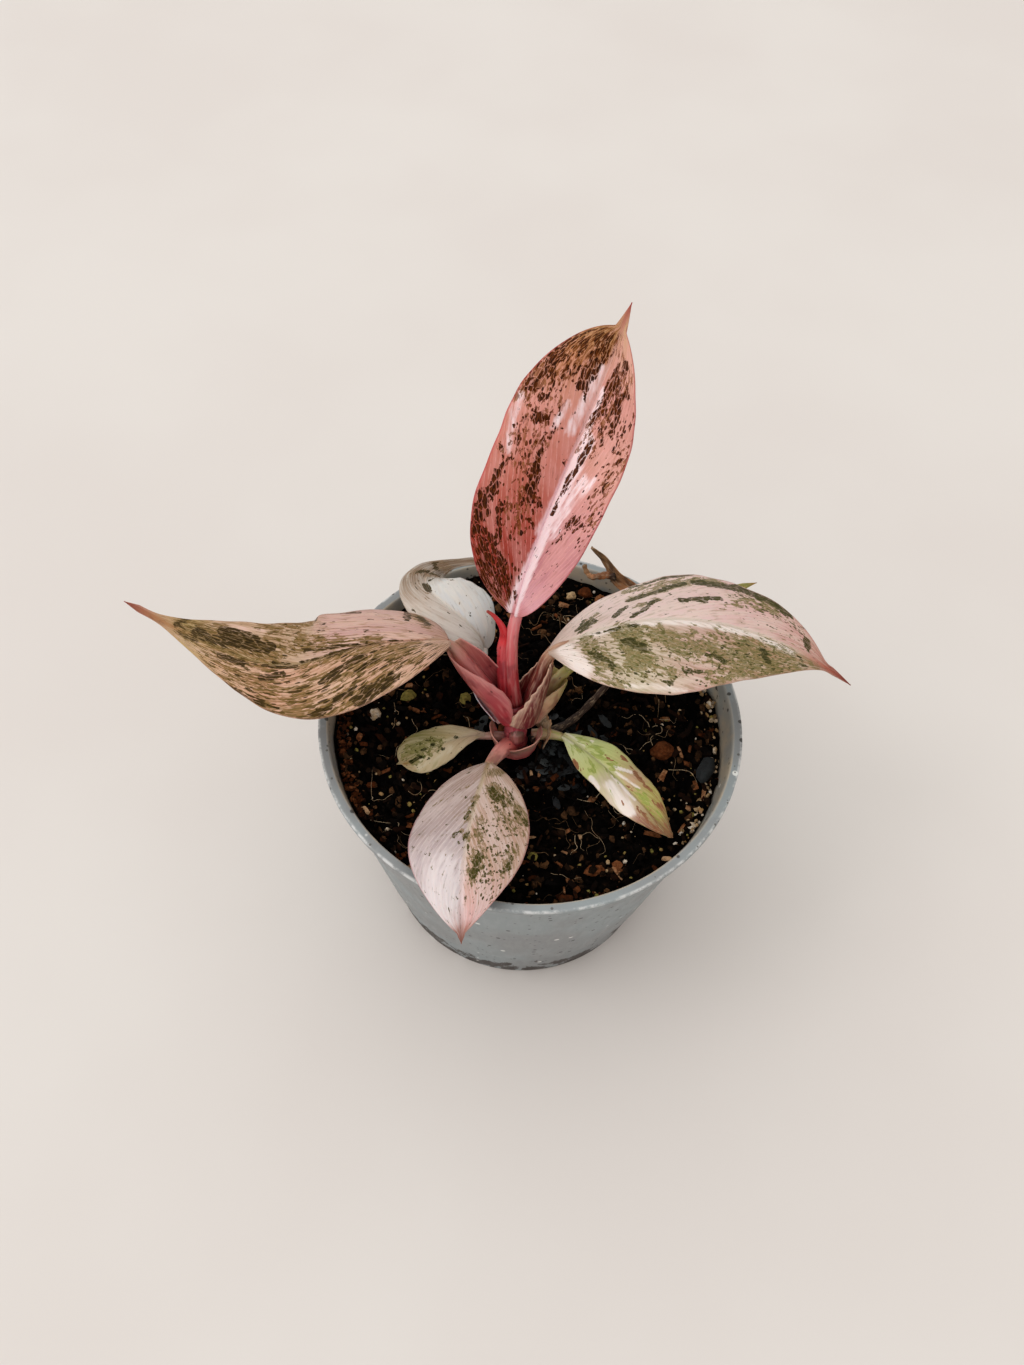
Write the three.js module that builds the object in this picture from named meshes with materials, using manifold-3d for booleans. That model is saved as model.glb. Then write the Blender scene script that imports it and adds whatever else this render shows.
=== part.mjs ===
// A small variegated philodendron in a grey nursery pot.
// Millimetres, +Z up. The origin is the centre of the pot's flat underside, +X is to the right
// and +Y to the back of the plant.
import * as THREE from 'three';
import { mergeVertices } from 'three/addons/utils/BufferGeometryUtils.js';
import Module from 'manifold-3d';

const wasm = await Module();
wasm.setup();

// Pot
const rimDiameter = 105;
const potHeight = 75;
const footDiameter = 75;
const wallThickness = 1.3;
const floorThickness = 1.6;
const lipWidth = 2.3;
const lipDepth = 1.5;
const lipOverhang = 1.2;
const footStepHeight = 16.5;
const footStepDepth = 0.5;
const edgeRound = 0.4;
const drainHoleCount = 6;
const drainHoleDiameter = 6;
const drainCircleDiameter = 48;
const drainHoleSectors = 16;
const potSectors = 48;

// Soil
const soilCentreLevel = 68.2;
const soilSlopeRight = -0.02;
const soilSlopeBack = 0.05;
const soilBank = 1.4;
const soilRings = 9;
const soilSectors = 36;
const soilBankFrom = 36;
const soilBankTo = 49;
// Lumps: height, waves along X and Y in radians per millimetre, and their start.
const soilLumps = [
  { height: 0.42, x: 0.2, y: 0.36, start: 1.3 },
  { height: 0.28, x: 0.83, y: -0.5, start: 0 },
  { height: 0.18, x: 0.9, y: 1.7, start: 0 },
];
const grainCount = 46;
const grainSeed = 20;
const grainClearOfStem = 11;
const grainClearOfLowLeaf = 8;
const grainClearOfWall = 3.5;
const chipSide = 1.7;
const chipHeight = 1.3;
const stoneRadius = 1.1;
const grainTilt = 0.25;
const grainLift = 0.15;
const grainLength = { least: 0.9, spread: 1.3 };
const grainWidth = { least: 0.7, spread: 0.7 };
const grainHeight = { least: 0.7, spread: 0.5 };
const chipShare = 0.5;

// Plant
const seatGap = 0.3;
const bladeThickness = 0.7;
const sheathThickness = 0.8;
const tipHalfWidth = 0.35;
const bladeColumns = 6;
const sheathColumns = 6;
const sheathRows = 8;
const sheathSink = 0.5;
const otherHalfShift = 0.3;
const stemPath = [[-3.5, -5, 44], [-3.5, -4.8, 66], [-3.6, -4, 75], [-4.2, -2, 82]];
const stemRadii = [2.6, 3, 2.9, 2.4];
const stemSides = 10;

// A leaf: the midrib is a cubic Bezier curve from the petiole to the tip. halfWidth, rise and
// fall shape the margins, dripFrom and dripWidth the narrow tip, skew makes the right half
// wider than the left. lift gives the angle of each half at the base, the middle and the tip,
// in degrees above the level of the midrib. petiole runs from the stem to the
// blade, and its sheath is a trough round it.
const leaves = {
  leaf_center: {
    midrib: [[-5.7, 8.4, 105], [-2.1, 13.1, 130.5], [9.5, 33.2, 145.7], [14.2, 35.7, 172.3]],
    halfWidth: 16.4, rise: 0.65, fall: 0.59, dripFrom: 0.92, dripWidth: 1.6, skew: -0.114,
    lift: { left: [18, 49, 3], right: [25, 17, 10] },
    arch: 0.06, ripple: 0.9, ripples: 2.6, rippleStart: 0.1, rows: 15,
    petiole: [[-4.4, -1.4, 82.4], [-5.3, 0.6, 87.5], [-5.8, 3.2, 93], [-5.8, 6.4, 99]],
    radii: [2.2, 1.9, 1.7, 1.5, 1.4],
    color: 0xc9868a,
  },
  leaf_left: {
    midrib: [[-20.4, 3.4, 99.6], [-61.2, -2, 106.2], [-41.6, -16.1, 92], [-99.8, 13.7, 94.2]],
    halfWidth: 17.5, rise: 0.39, fall: 1.44, dripFrom: 0.95, dripWidth: 0.9, skew: 0.118,
    lift: { left: [45, -34, -56], right: [-31, -8, 55] },
    arch: 0.06, ripple: 0.5, ripples: 3, rippleStart: 0.3, rows: 16,
    petiole: [[-6.1, -2.7, 78.3], [-8.9, -1.8, 83.6], [-12.7, -0.6, 88.9], [-16.6, 1.2, 94.4]],
    radii: [2.2, 2.3, 2.2, 2, 1.5],
    sheath: {
      from: 0.02, to: 0.95, radii: [3.6, 4, 4.1, 3.9, 3], left: [105, 150, 60], right: [80, 112, 60],
    },
    color: 0xb58f82,
  },
  leaf_right: {
    midrib: [[2.8, 3.6, 97.6], [27.4, 11.4, 112], [51, 11.6, 104.6], [75.7, 3.8, 90.6]],
    halfWidth: 21.8, rise: 0.81, fall: 1.2, dripFrom: 0.92, dripWidth: 1.2, skew: -0.055,
    lift: { left: [-32, -21, 30], right: [-8, 3, 20] },
    arch: 0.05, ripple: 0.5, ripples: 3, rippleStart: 0.6, rows: 15,
    petiole: [[-1.3, -1.6, 77], [0, -0.2, 83.4], [1.6, 1.7, 90.4]],
    radii: [2.2, 2.2, 1.9, 1.5],
    sheath: {
      from: 0.12, to: 0.94, radii: [4.6, 4.1, 3.2, 2.3], left: [98, 82, 8], right: [165, 150, 105],
    },
    color: 0xb9a592,
  },
  leaf_back_left: {
    midrib: [[-12.8, 16.1, 79.4], [-13.2, 17.3, 94.6], [-47.5, 30.7, 89.1], [-15, 45.2, 79.8]],
    halfWidth: 11.6, rise: 0.54, fall: 1.84, dripFrom: 0.95, dripWidth: 1.4, skew: 0.05,
    lift: { left: [19, 5, 5], right: [-15, -6, 5] },
    arch: 0.1, ripple: 0.6, ripples: 2.2, rippleStart: 0.2, rows: 14,
    petiole: [[-6.4, -2, 76.4], [-11.2, 2.3, 79], [-13.3, 8.3, 79.4]],
    radii: [2.4, 2.1, 1.8, 1.4],
    sheath: { from: 0.05, to: 0.8, radii: [3.4, 2.8, 2.2], left: [70, 70, 30], right: [70, 70, 30] },
    color: 0xd8d2c8,
  },
  leaf_back_right: {
    midrib: [[7.6, 6.1, 87.6], [21, 16.8, 91.3], [37.9, 26.3, 91.8], [55.4, 34.5, 89.8]],
    halfWidth: 9.6, rise: 0.75, fall: 1.1, dripFrom: 0.93, dripWidth: 1, skew: 0,
    lift: { left: [12, 0, 4], right: [12, 0, 4] },
    arch: 0.08, ripple: 0.5, ripples: 2.4, rippleStart: 0.2, rows: 12,
    petiole: [[-0.6, -1, 76.8], [3.2, 2.2, 81], [5.7, 4.5, 84.5]],
    radii: [2.4, 2.2, 1.8, 1.3],
    sheath: { from: 0.05, to: 0.88, radii: [4.2, 4.5, 3.4], left: [70, 90, 50], right: [90, 135, 80] },
    color: 0x9aa05c,
  },
  leaf_front: {
    midrib: [[-9.6, -15.9, 77.8], [-13.9, -33.4, 82.2], [-14.3, -50.6, 87.2], [-13, -60.9, 75.9]],
    halfWidth: 14.2, rise: 0.73, fall: 0.93, dripFrom: 0.96, dripWidth: 0.8, skew: 0.014,
    lift: { left: [10, -14, 1], right: [-15, -18, 30] },
    arch: 0.07, ripple: 0.4, ripples: 2, rippleStart: 0.1, rows: 12,
    petiole: [[-4.7, -6.3, 71.5], [-7, -10.2, 74.2]],
    radii: [2.2, 1.9, 1.3],
    cup: {
      centre: [-3.5, -4.4], from: 160, to: 372, bottom: 69.7, low: 75.4, high: 78,
      bottomRadius: 5, topRadius: 7,
    },
    color: 0xd9bdb6,
  },
  leaf_small_left: {
    midrib: [[-11.1, -5.4, 73.9], [-21.2, -6, 73.3], [-28.1, -11.8, 71.2], [-32, -14.8, 72.8]],
    halfWidth: 5.8, rise: 1.04, fall: 0.49, dripFrom: 0.95, dripWidth: 0.6, skew: 0.01,
    lift: { left: [3, -6, -2], right: [1, -5, -7] },
    arch: 0.06, ripple: 0.3, ripples: 2.5, rippleStart: 0.4, rows: 8,
    petiole: [[-6.3, -4.4, 71.2], [-8.6, -4.8, 72.4]],
    radii: [1.5, 1.2, 0.9],
    color: 0xb3ab86,
  },
  leaf_small_right: {
    midrib: [[8.2, -3.8, 73], [18.1, -11.4, 75], [26, -21.8, 75.4], [35.1, -29.1, 70.2]],
    halfWidth: 6.4, rise: 0.7, fall: 0.8, dripFrom: 0.98, dripWidth: 0.9, skew: 0,
    lift: { left: [7, -4, -5], right: [-16, 5, 3] },
    arch: 0.08, ripple: 0.9, ripples: 2.2, rippleStart: 0.3, rows: 10,
    petiole: [[0.6, -3.2, 71.2], [4, -3.1, 71.9]],
    radii: [1.6, 1.4, 1],
    color: 0xa9a864,
  },
};

const spear = {
  path: [
    [-6.6, -1.4, 83], [-7.3, 0.5, 87.5], [-7.7, 2.7, 92.2], [-7.8, 4.8, 96.2],
    [-7.6, 6.3, 99], [-8, 7.1, 100.6], [-9.1, 7.9, 102.4], [-10.5, 8.5, 103.9],
    [-11.9, 8.9, 104.8],
  ],
  radii: [1.1, 1.4, 1.5, 1.5, 1.45, 1.4, 1.2, 0.85, 0.6, 0.35],
  color: 0xc23a45,
};

const withered = {
  petiole: [[0.3, -4.4, 71], [8.9, 0.7, 70.8], [19.9, 14.2, 71.1], [27.9, 27.4, 71.8]],
  petioleRadii: [1.3, 0.9, 0.8, 1],
  strip: [[27.5, 26.9, 71.7], [28, 37.4, 76.6], [20.6, 42.6, 79.8], [13.7, 46.5, 85.8]],
  lobe: [[20.6, 42.6, 79.7], [17.6, 43.1, 79], [15, 43.6, 77.4], [13.5, 44.7, 77], [12.3, 46.4, 78.8]],
  lobeRadii: [1.1, 1, 0.8, 0.7, 0.6],
  endHalfWidth: 1.5,
  halfWidth: 2.3,
  thickness: 0.9,
  twistTurns: 0.35,
  crumple: 0.5,
  crumples: 1.4,
  color: 0x8a6a4a,
};

const drySheath = {
  centre: [-3.5, -4.4],
  from: -15,
  to: 48,
  bottom: 69.7,
  endTop: 72.6,
  top: 76,
  bottomRadius: 7.2,
  topRadius: 8.8,
  thickness: 0.7,
  color: 0xc9b79a,
};

const degrees = Math.PI / 180;
const up = new THREE.Vector3(0, 0, 1);
const vector = (point) => new THREE.Vector3(...point);

// The signed volume tells which way the faces of a closed geometry point.
function signedVolume(positions, index) {
  const a = new THREE.Vector3();
  const b = new THREE.Vector3();
  const c = new THREE.Vector3();
  let volume = 0;
  for (let i = 0; i < index.length; i += 3) {
    a.fromArray(positions, 3 * index[i]);
    b.fromArray(positions, 3 * index[i + 1]);
    c.fromArray(positions, 3 * index[i + 2]);
    volume += a.dot(b.cross(c)) / 6;
  }
  return volume;
}

// A solid from a closed geometry, with its faces pointing out and no triangle of no area.
function solid(geometry) {
  const bare = geometry.clone();
  bare.deleteAttribute('normal');
  bare.deleteAttribute('uv');
  const merged = mergeVertices(bare, 1e-4);
  const positions = merged.attributes.position.array;
  const index = [];
  for (let i = 0; i < merged.index.count; i += 3) {
    const corner = [0, 1, 2].map((k) => merged.index.getX(i + k));
    if (new Set(corner).size === 3) {
      index.push(...corner);
    }
  }
  if (signedVolume(positions, index) < 0) {
    index.reverse();
  }
  return new wasm.Manifold(new wasm.Mesh({
    numProp: 3,
    vertProperties: Float32Array.from(positions),
    triVerts: Uint32Array.from(index),
  }));
}

function joined(solids) {
  return solids.reduce((whole, next) => whole.add(next));
}

// A cut can leave a loose scrap: only the largest body is kept.
function largestBody(body) {
  const parts = body.decompose();
  parts.sort((a, b) => b.volume() - a.volume());
  return parts[0];
}

function pieceMesh(name, body, color, roughness) {
  const { vertProperties, triVerts } = body.getMesh();
  const geometry = new THREE.BufferGeometry();
  geometry.setAttribute('position', new THREE.BufferAttribute(vertProperties, 3));
  geometry.setIndex(new THREE.BufferAttribute(triVerts, 1));
  geometry.computeVertexNormals();
  const mesh = new THREE.Mesh(geometry, new THREE.MeshStandardMaterial({ color, roughness, metalness: 0 }));
  mesh.name = name;
  return mesh;
}

// Values spaced evenly from 0 to 1, read between by straight lines.
function valueAt(values, t) {
  const place = THREE.MathUtils.clamp(t, 0, 1) * (values.length - 1);
  const low = Math.min(Math.floor(place), values.length - 2);
  return THREE.MathUtils.lerp(values[low], values[low + 1], place - low);
}

// A round tube of changing radius along a smooth curve, closed at both ends.
function tube(points, radii, { sides = 8, steps = 10, gap = 0 } = {}) {
  const curve = new THREE.CatmullRomCurve3(points.map(vector), false, 'centripetal');
  const frames = curve.computeFrenetFrames(steps, false);
  const positions = [];
  const index = [];
  for (let i = 0; i <= steps; i += 1) {
    const t = i / steps;
    const centre = curve.getPointAt(t);
    if (i === 0) {
      centre.addScaledVector(frames.tangents[0], -gap);
    }
    if (i === steps) {
      centre.addScaledVector(frames.tangents[steps], gap);
    }
    const radius = valueAt(radii, t) + gap;
    for (let k = 0; k < sides; k += 1) {
      const angle = (2 * Math.PI * k) / sides;
      const point = centre.clone();
      point.addScaledVector(frames.normals[i], radius * Math.cos(angle));
      point.addScaledVector(frames.binormals[i], radius * Math.sin(angle));
      positions.push(point.x, point.y, point.z);
    }
  }
  for (let i = 0; i < steps; i += 1) {
    for (let k = 0; k < sides; k += 1) {
      const a = i * sides + k;
      const b = i * sides + ((k + 1) % sides);
      index.push(a, b, b + sides, a, b + sides, a + sides);
    }
  }
  for (let k = 1; k < sides - 1; k += 1) {
    const last = steps * sides;
    index.push(0, k + 1, k, last, last + k, last + k + 1);
  }
  const geometry = new THREE.BufferGeometry();
  geometry.setAttribute('position', new THREE.Float32BufferAttribute(positions, 3));
  geometry.setIndex(index);
  return solid(geometry);
}

// A thin curved sheet. place(u, v) is its middle surface, u across and v along. Both faces
// are split into the same triangles, half the thickness to each side.
function sheet(place, across, along, thickness) {
  const middle = new THREE.PlaneGeometry(1, 1, across, along);
  const points = middle.attributes.position;
  for (let row = 0; row <= along; row += 1) {
    for (let column = 0; column <= across; column += 1) {
      const point = place(column / across, row / along);
      points.setXYZ(row * (across + 1) + column, point.x, point.y, point.z);
    }
  }
  middle.computeVertexNormals();
  const normals = middle.attributes.normal;
  const count = points.count;
  const positions = new Float32Array(6 * count);
  for (let i = 0; i < count; i += 1) {
    const point = new THREE.Vector3().fromBufferAttribute(points, i);
    const offset = new THREE.Vector3().fromBufferAttribute(normals, i).multiplyScalar(thickness / 2);
    point.clone().add(offset).toArray(positions, 3 * i);
    point.clone().sub(offset).toArray(positions, 3 * (count + i));
  }
  const face = Array.from(middle.index.array);
  const index = [...face];
  for (let i = 0; i < face.length; i += 3) {
    index.push(face[i] + count, face[i + 2] + count, face[i + 1] + count);
  }
  const edge = [];
  for (let column = 0; column < across; column += 1) {
    edge.push(column);
  }
  for (let row = 0; row < along; row += 1) {
    edge.push(row * (across + 1) + across);
  }
  for (let column = across; column > 0; column -= 1) {
    edge.push(along * (across + 1) + column);
  }
  for (let row = along; row > 0; row -= 1) {
    edge.push(row * (across + 1));
  }
  edge.forEach((from, i) => {
    const to = edge[(i + 1) % edge.length];
    index.push(from, to, to + count, from, to + count, from + count);
  });
  const geometry = new THREE.BufferGeometry();
  geometry.setAttribute('position', new THREE.BufferAttribute(positions, 3));
  geometry.setIndex(index);
  return solid(geometry);
}

// Three values at the base, the middle and the tip, joined by one smooth bend.
function bendAt([base, middle, tip], q) {
  return base * (1 - q) * (1 - 2 * q) + middle * 4 * q * (1 - q) + tip * q * (2 * q - 1);
}

function halfWidthAt(leaf, q) {
  const x = Math.min(q / leaf.dripFrom, 1);
  const widest = leaf.rise / (leaf.rise + leaf.fall);
  const body = leaf.halfWidth * (x / widest) ** leaf.rise * ((1 - x) / (1 - widest)) ** leaf.fall;
  const drip = leaf.dripWidth * Math.min(1, (1 - q) / (1 - leaf.dripFrom));
  return Math.max(Math.cbrt(body ** 3 + drip ** 3), tipHalfWidth);
}

// The midrib point at a fraction of its length, with the directions to the right and up.
function midribAt(leaf, q) {
  const curve = new THREE.CubicBezierCurve3(...leaf.midrib.map(vector));
  const point = curve.getPointAt(q);
  const tangent = curve.getTangentAt(q);
  const right = new THREE.Vector3().crossVectors(tangent, up).normalize();
  const above = new THREE.Vector3().crossVectors(right, tangent);
  return { point, right, above };
}

// A point of the blade: side runs from -1, the left margin, to 1, the right margin.
function bladePoint(leaf, side, q) {
  const { point, right, above } = midribAt(leaf, q);
  const out = Math.abs(side);
  const width = halfWidthAt(leaf, q) * (1 + Math.sign(side) * leaf.skew);
  const angle = bendAt(side < 0 ? leaf.lift.left : leaf.lift.right, q) * degrees;
  const shift = leaf.rippleStart + (side < 0 ? otherHalfShift : 0);
  const wave = Math.sin(2 * Math.PI * (leaf.ripples * q + shift));
  const ripple = leaf.ripple * wave * out * out * Math.sin(Math.PI * q);
  const arch = leaf.arch * width * Math.sin(Math.PI * out);
  point.addScaledVector(right, Math.sign(side) * out * width * Math.cos(angle));
  point.addScaledVector(above, out * width * Math.sin(angle) + ripple + arch);
  return point;
}

// Rows of a blade stand closer together at its base and tip.
const endCrowding = 0.09;

function blade(leaf) {
  const place = (u, v) => bladePoint(leaf, 2 * u - 1, v - endCrowding * Math.sin(2 * Math.PI * v));
  return sheet(place, bladeColumns, leaf.rows, bladeThickness);
}

// The petiole runs on under the blade as its midrib, and gets thinner towards the tip.
const midribStops = [0.1, 0.3, 0.55, 0.8];
const midribSink = 0.8;
const midribEndRadius = 0.4;
const petioleSides = 7;
const petioleSteps = 14;

function petiole(leaf, gap) {
  const path = [...leaf.petiole];
  const blunt = leaf.radii[leaf.radii.length - 1];
  [0, ...midribStops].forEach((q) => {
    const { point, above } = midribAt(leaf, q);
    const radius = THREE.MathUtils.lerp(blunt, midribEndRadius, q);
    path.push(point.addScaledVector(above, -midribSink * radius).toArray());
  });
  const curve = new THREE.CatmullRomCurve3(path.map(vector), false, 'centripetal');
  const share = new THREE.CatmullRomCurve3(
    path.slice(0, leaf.petiole.length + 1).map(vector), false, 'centripetal',
  ).getLength() / curve.getLength();
  const radii = [];
  for (let i = 0; i <= petioleSteps; i += 1) {
    const t = i / petioleSteps;
    const along = (t - share) / (1 - share);
    radii.push(t < share
      ? valueAt(leaf.radii, t / share)
      : THREE.MathUtils.lerp(blunt, midribEndRadius, along));
  }
  return tube(path, radii, { sides: petioleSides, steps: petioleSteps, gap });
}

// The sheath of a petiole: a thin trough along it, open to the upper side. Its bottom lies
// inside the petiole, and left and right give how far it goes round on each side.
function sheath(leaf, { from, to, radii, left, right: rightSpread }, gap) {
  const path = [...leaf.petiole, leaf.midrib[0]];
  const curve = new THREE.CatmullRomCurve3(path.map(vector), false, 'centripetal');
  const spare = gap / (curve.getLength() * (to - from));
  const place = (u, v) => {
    const run = THREE.MathUtils.lerp(-spare, 1 + spare, v);
    const t = THREE.MathUtils.clamp(THREE.MathUtils.lerp(from, to, run), 0, 1);
    const point = curve.getPointAt(t);
    const tangent = curve.getTangentAt(t);
    const right = new THREE.Vector3().crossVectors(tangent, up).normalize();
    const above = new THREE.Vector3().crossVectors(right, tangent);
    const side = 2 * u - 1;
    const radius = valueAt(radii, run);
    const spread = bendAt(side < 0 ? left : rightSpread, THREE.MathUtils.clamp(run, 0, 1));
    const angle = side * (spread * degrees + gap / radius);
    const rise = radius - sheathSink * valueAt(leaf.radii, t) - radius * Math.cos(angle);
    point.addScaledVector(above, rise);
    point.addScaledVector(right, radius * Math.sin(angle));
    return point;
  };
  return sheet(place, sheathColumns, sheathRows, sheathThickness + 2 * gap);
}

const collarColumnAngle = 16;
const collarRows = 3;
const collarFlare = 1.4;

// A flared collar round the stem, highest in its middle and low at its two ends.
function collar({ centre, from, to, bottom, low, high, bottomRadius, topRadius }, thickness, gap) {
  const columns = Math.ceil((to - from) / collarColumnAngle);
  const spare = gap / (bottomRadius * (to - from) * degrees);
  const place = (u, v) => {
    const share = THREE.MathUtils.lerp(-spare, 1 + spare, u);
    const angle = THREE.MathUtils.lerp(from, to, share) * degrees;
    const top = THREE.MathUtils.lerp(low, high, Math.sin(Math.PI * THREE.MathUtils.clamp(share, 0, 1)));
    const z = THREE.MathUtils.lerp(bottom - gap, top + gap, v);
    const flare = (z - bottom) / (high - bottom);
    const radius = THREE.MathUtils.lerp(bottomRadius, topRadius, Math.max(flare, 0) ** collarFlare);
    const x = centre[0] + radius * Math.cos(angle);
    const y = centre[1] + radius * Math.sin(angle);
    return new THREE.Vector3(x, y, z);
  };
  return sheet(place, columns, collarRows, thickness + 2 * gap);
}

// The part of a leaf that meets its neighbours: the petiole with its sheath and collar.
function leafStalk(leaf, gap) {
  const parts = [petiole(leaf, gap)];
  if (leaf.sheath) {
    parts.push(sheath(leaf, leaf.sheath, gap));
  }
  if (leaf.cup) {
    parts.push(collar(leaf.cup, sheathThickness, gap));
  }
  return joined(parts);
}

// The dried leaf: a thin petiole on the soil, a crumpled strip up over the rim, a torn lobe.
function witheredLeaf(gap) {
  const curve = new THREE.CatmullRomCurve3(withered.strip.map(vector), false, 'centripetal');
  const place = (u, v) => {
    const point = curve.getPointAt(v);
    const tangent = curve.getTangentAt(v);
    const right = new THREE.Vector3().crossVectors(tangent, up).normalize();
    const above = new THREE.Vector3().crossVectors(right, tangent);
    const side = 2 * u - 1;
    const angle = 2 * Math.PI * withered.twistTurns * v;
    const { endHalfWidth, halfWidth } = withered;
    const width = THREE.MathUtils.lerp(endHalfWidth, halfWidth, Math.sin(Math.PI * v)) + gap;
    const curl = withered.crumple * Math.sin(2 * Math.PI * withered.crumples * v) * side ** 2;
    point.addScaledVector(right, side * width * Math.cos(angle) + curl);
    point.addScaledVector(above, side * width * Math.sin(angle) + curl);
    return point;
  };
  return joined([
    sheet(place, 4, 10, withered.thickness + 2 * gap),
    tube(withered.petiole, withered.petioleRadii, { sides: 6, steps: 10, gap }),
    tube(withered.lobe, withered.lobeRadii, { sides: 6, steps: 8, gap }),
  ]);
}

function potOuterRadius(z) {
  return THREE.MathUtils.lerp(footDiameter / 2, rimDiameter / 2 - lipOverhang, z / potHeight);
}

function potInnerRadius(z) {
  return potOuterRadius(z) - wallThickness;
}

// A body turned about the Z axis from its outline of radius and height.
function turned(outline, sectors) {
  const profile = outline.map(([radius, z]) => new THREE.Vector2(radius, z));
  return new THREE.LatheGeometry(profile, sectors).rotateX(Math.PI / 2);
}

function buildPot() {
  const foot = footDiameter / 2;
  const rim = rimDiameter / 2;
  const lipUnder = potHeight - lipDepth;
  const stepTop = footStepHeight + footStepDepth;
  const shell = solid(turned([
    [0, 0],
    [foot - 2 * edgeRound, 0],
    [foot, 2 * edgeRound],
    [potOuterRadius(footStepHeight) - footStepDepth, footStepHeight],
    [potOuterRadius(stepTop), stepTop],
    [potOuterRadius(lipUnder), lipUnder],
    [rim - edgeRound, lipUnder],
    [rim, lipUnder + edgeRound],
    [rim, potHeight - edgeRound],
    [rim - edgeRound, potHeight],
    [rim - lipWidth, potHeight],
    [potInnerRadius(lipUnder), lipUnder],
    [potInnerRadius(stepTop), stepTop],
    [potInnerRadius(floorThickness) - footStepDepth, floorThickness],
    [0, floorThickness],
  ], potSectors));
  const holes = [];
  for (let i = 0; i < drainHoleCount; i += 1) {
    const angle = (2 * Math.PI * i) / drainHoleCount;
    const radius = drainHoleDiameter / 2;
    const drill = new THREE.CylinderGeometry(radius, radius, 4 * floorThickness, drainHoleSectors);
    drill.rotateX(Math.PI / 2);
    drill.translate(drainCircleDiameter / 2, 0, 0);
    drill.rotateZ(angle);
    holes.push(solid(drill));
  }
  return shell.subtract(joined(holes));
}

function seededDraws(seed) {
  let state = seed;
  return () => {
    state = (state * 16807) % 2147483647;
    return state / 2147483647;
  };
}

// The top of the soil: it falls a little to the right, rises to the back, is banked against the
// left wall, and is lumpy all over.
function soilLevel(x, y) {
  const radius = Math.hypot(x, y);
  const toWall = THREE.MathUtils.smoothstep(radius, soilBankFrom, soilBankTo);
  const bank = soilBank * toWall * Math.max(0, -x / soilBankTo);
  const lumps = soilLumps.reduce((sum, lump) => {
    const phase = lump.x * x + lump.y * y + lump.start;
    return sum + lump.height * Math.sin(phase);
  }, 0);
  return soilCentreLevel + soilSlopeRight * x + soilSlopeBack * y + bank + lumps;
}

function distanceToPath(x, y, points) {
  const here = new THREE.Vector3(x, y, 0);
  const nearest = new THREE.Vector3();
  let best = Infinity;
  for (let i = 0; i + 1 < points.length; i += 1) {
    const stretch = new THREE.Line3(
      new THREE.Vector3(points[i][0], points[i][1], 0),
      new THREE.Vector3(points[i + 1][0], points[i + 1][1], 0),
    );
    stretch.closestPointToPoint(here, true, nearest);
    best = Math.min(best, nearest.distanceTo(here));
  }
  return best;
}

// Larger pieces in the mix: place, size along its three axes, and turn about Z.
const bigPieces = [
  { at: [33.8, -3.4], size: [3, 2.3, 1.4], turn: 20 },
  { at: [44.2, -8.4], size: [2.2, 4.4, 1.3], turn: -22 },
  { at: [-39.3, 1.4], size: [2, 1.6, 1.3], turn: 0 },
];

function grain({ at: [x, y], size, turn }, shape) {
  const geometry = shape === 'chip'
    ? new THREE.BoxGeometry(chipSide, chipSide, chipHeight)
    : new THREE.OctahedronGeometry(stoneRadius);
  geometry.scale(...size);
  geometry.rotateX(grainTilt * Math.sin(turn));
  geometry.rotateZ(turn * degrees);
  geometry.translate(x, y, soilLevel(x, y) + grainLift * size[2]);
  return solid(geometry);
}

function buildSoil(lowPaths) {
  const bottom = floorThickness + seatGap;
  const stepTop = footStepHeight + footStepDepth;
  const topMark = potHeight;
  const edge = potInnerRadius(soilCentreLevel) - seatGap;
  const outline = [
    [0, bottom],
    [potInnerRadius(bottom) - footStepDepth - 2 * seatGap, bottom],
    [potInnerRadius(stepTop) - 2 * seatGap, stepTop + seatGap],
  ];
  for (let ring = soilRings; ring >= 0; ring -= 1) {
    outline.push([edge * (ring / soilRings), topMark]);
  }
  const geometry = turned(outline, soilSectors);
  const points = geometry.attributes.position;
  for (let i = 0; i < points.count; i += 1) {
    if (points.getZ(i) === topMark) {
      const x = points.getX(i);
      const y = points.getY(i);
      const z = soilLevel(x, y);
      const atWall = Math.hypot(x, y) > edge - seatGap;
      const reach = atWall ? (potInnerRadius(z) - seatGap) / edge : 1;
      points.setXYZ(i, x * reach, y * reach, z);
    }
  }
  const draw = seededDraws(grainSeed);
  const drawSize = ({ least, spread }) => least + spread * draw();
  const grains = bigPieces.map((recipe) => grain(recipe, 'stone'));
  while (grains.length < grainCount + bigPieces.length) {
    const angle = 2 * Math.PI * draw();
    const radius = (edge - grainClearOfWall) * Math.sqrt(draw());
    const x = radius * Math.cos(angle);
    const y = radius * Math.sin(angle);
    const size = [drawSize(grainLength), drawSize(grainWidth), drawSize(grainHeight)];
    const turn = 360 * draw();
    const shape = draw() < chipShare ? 'chip' : 'stone';
    const clear = lowPaths.every((path) => distanceToPath(x, y, path) > grainClearOfLowLeaf);
    if (clear && distanceToPath(x, y, [stemPath[0], stemPath[1]]) > grainClearOfStem) {
      grains.push(grain({ at: [x, y], size, turn }, shape));
    }
  }
  return joined([solid(geometry), ...grains]);
}

const plant = new THREE.Group();
const potRoughness = 0.5;
const leafRoughness = 0.35;
const soilRoughness = 0.95;

plant.add(pieceMesh('pot', buildPot(), 0x8d959b, potRoughness));

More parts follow.
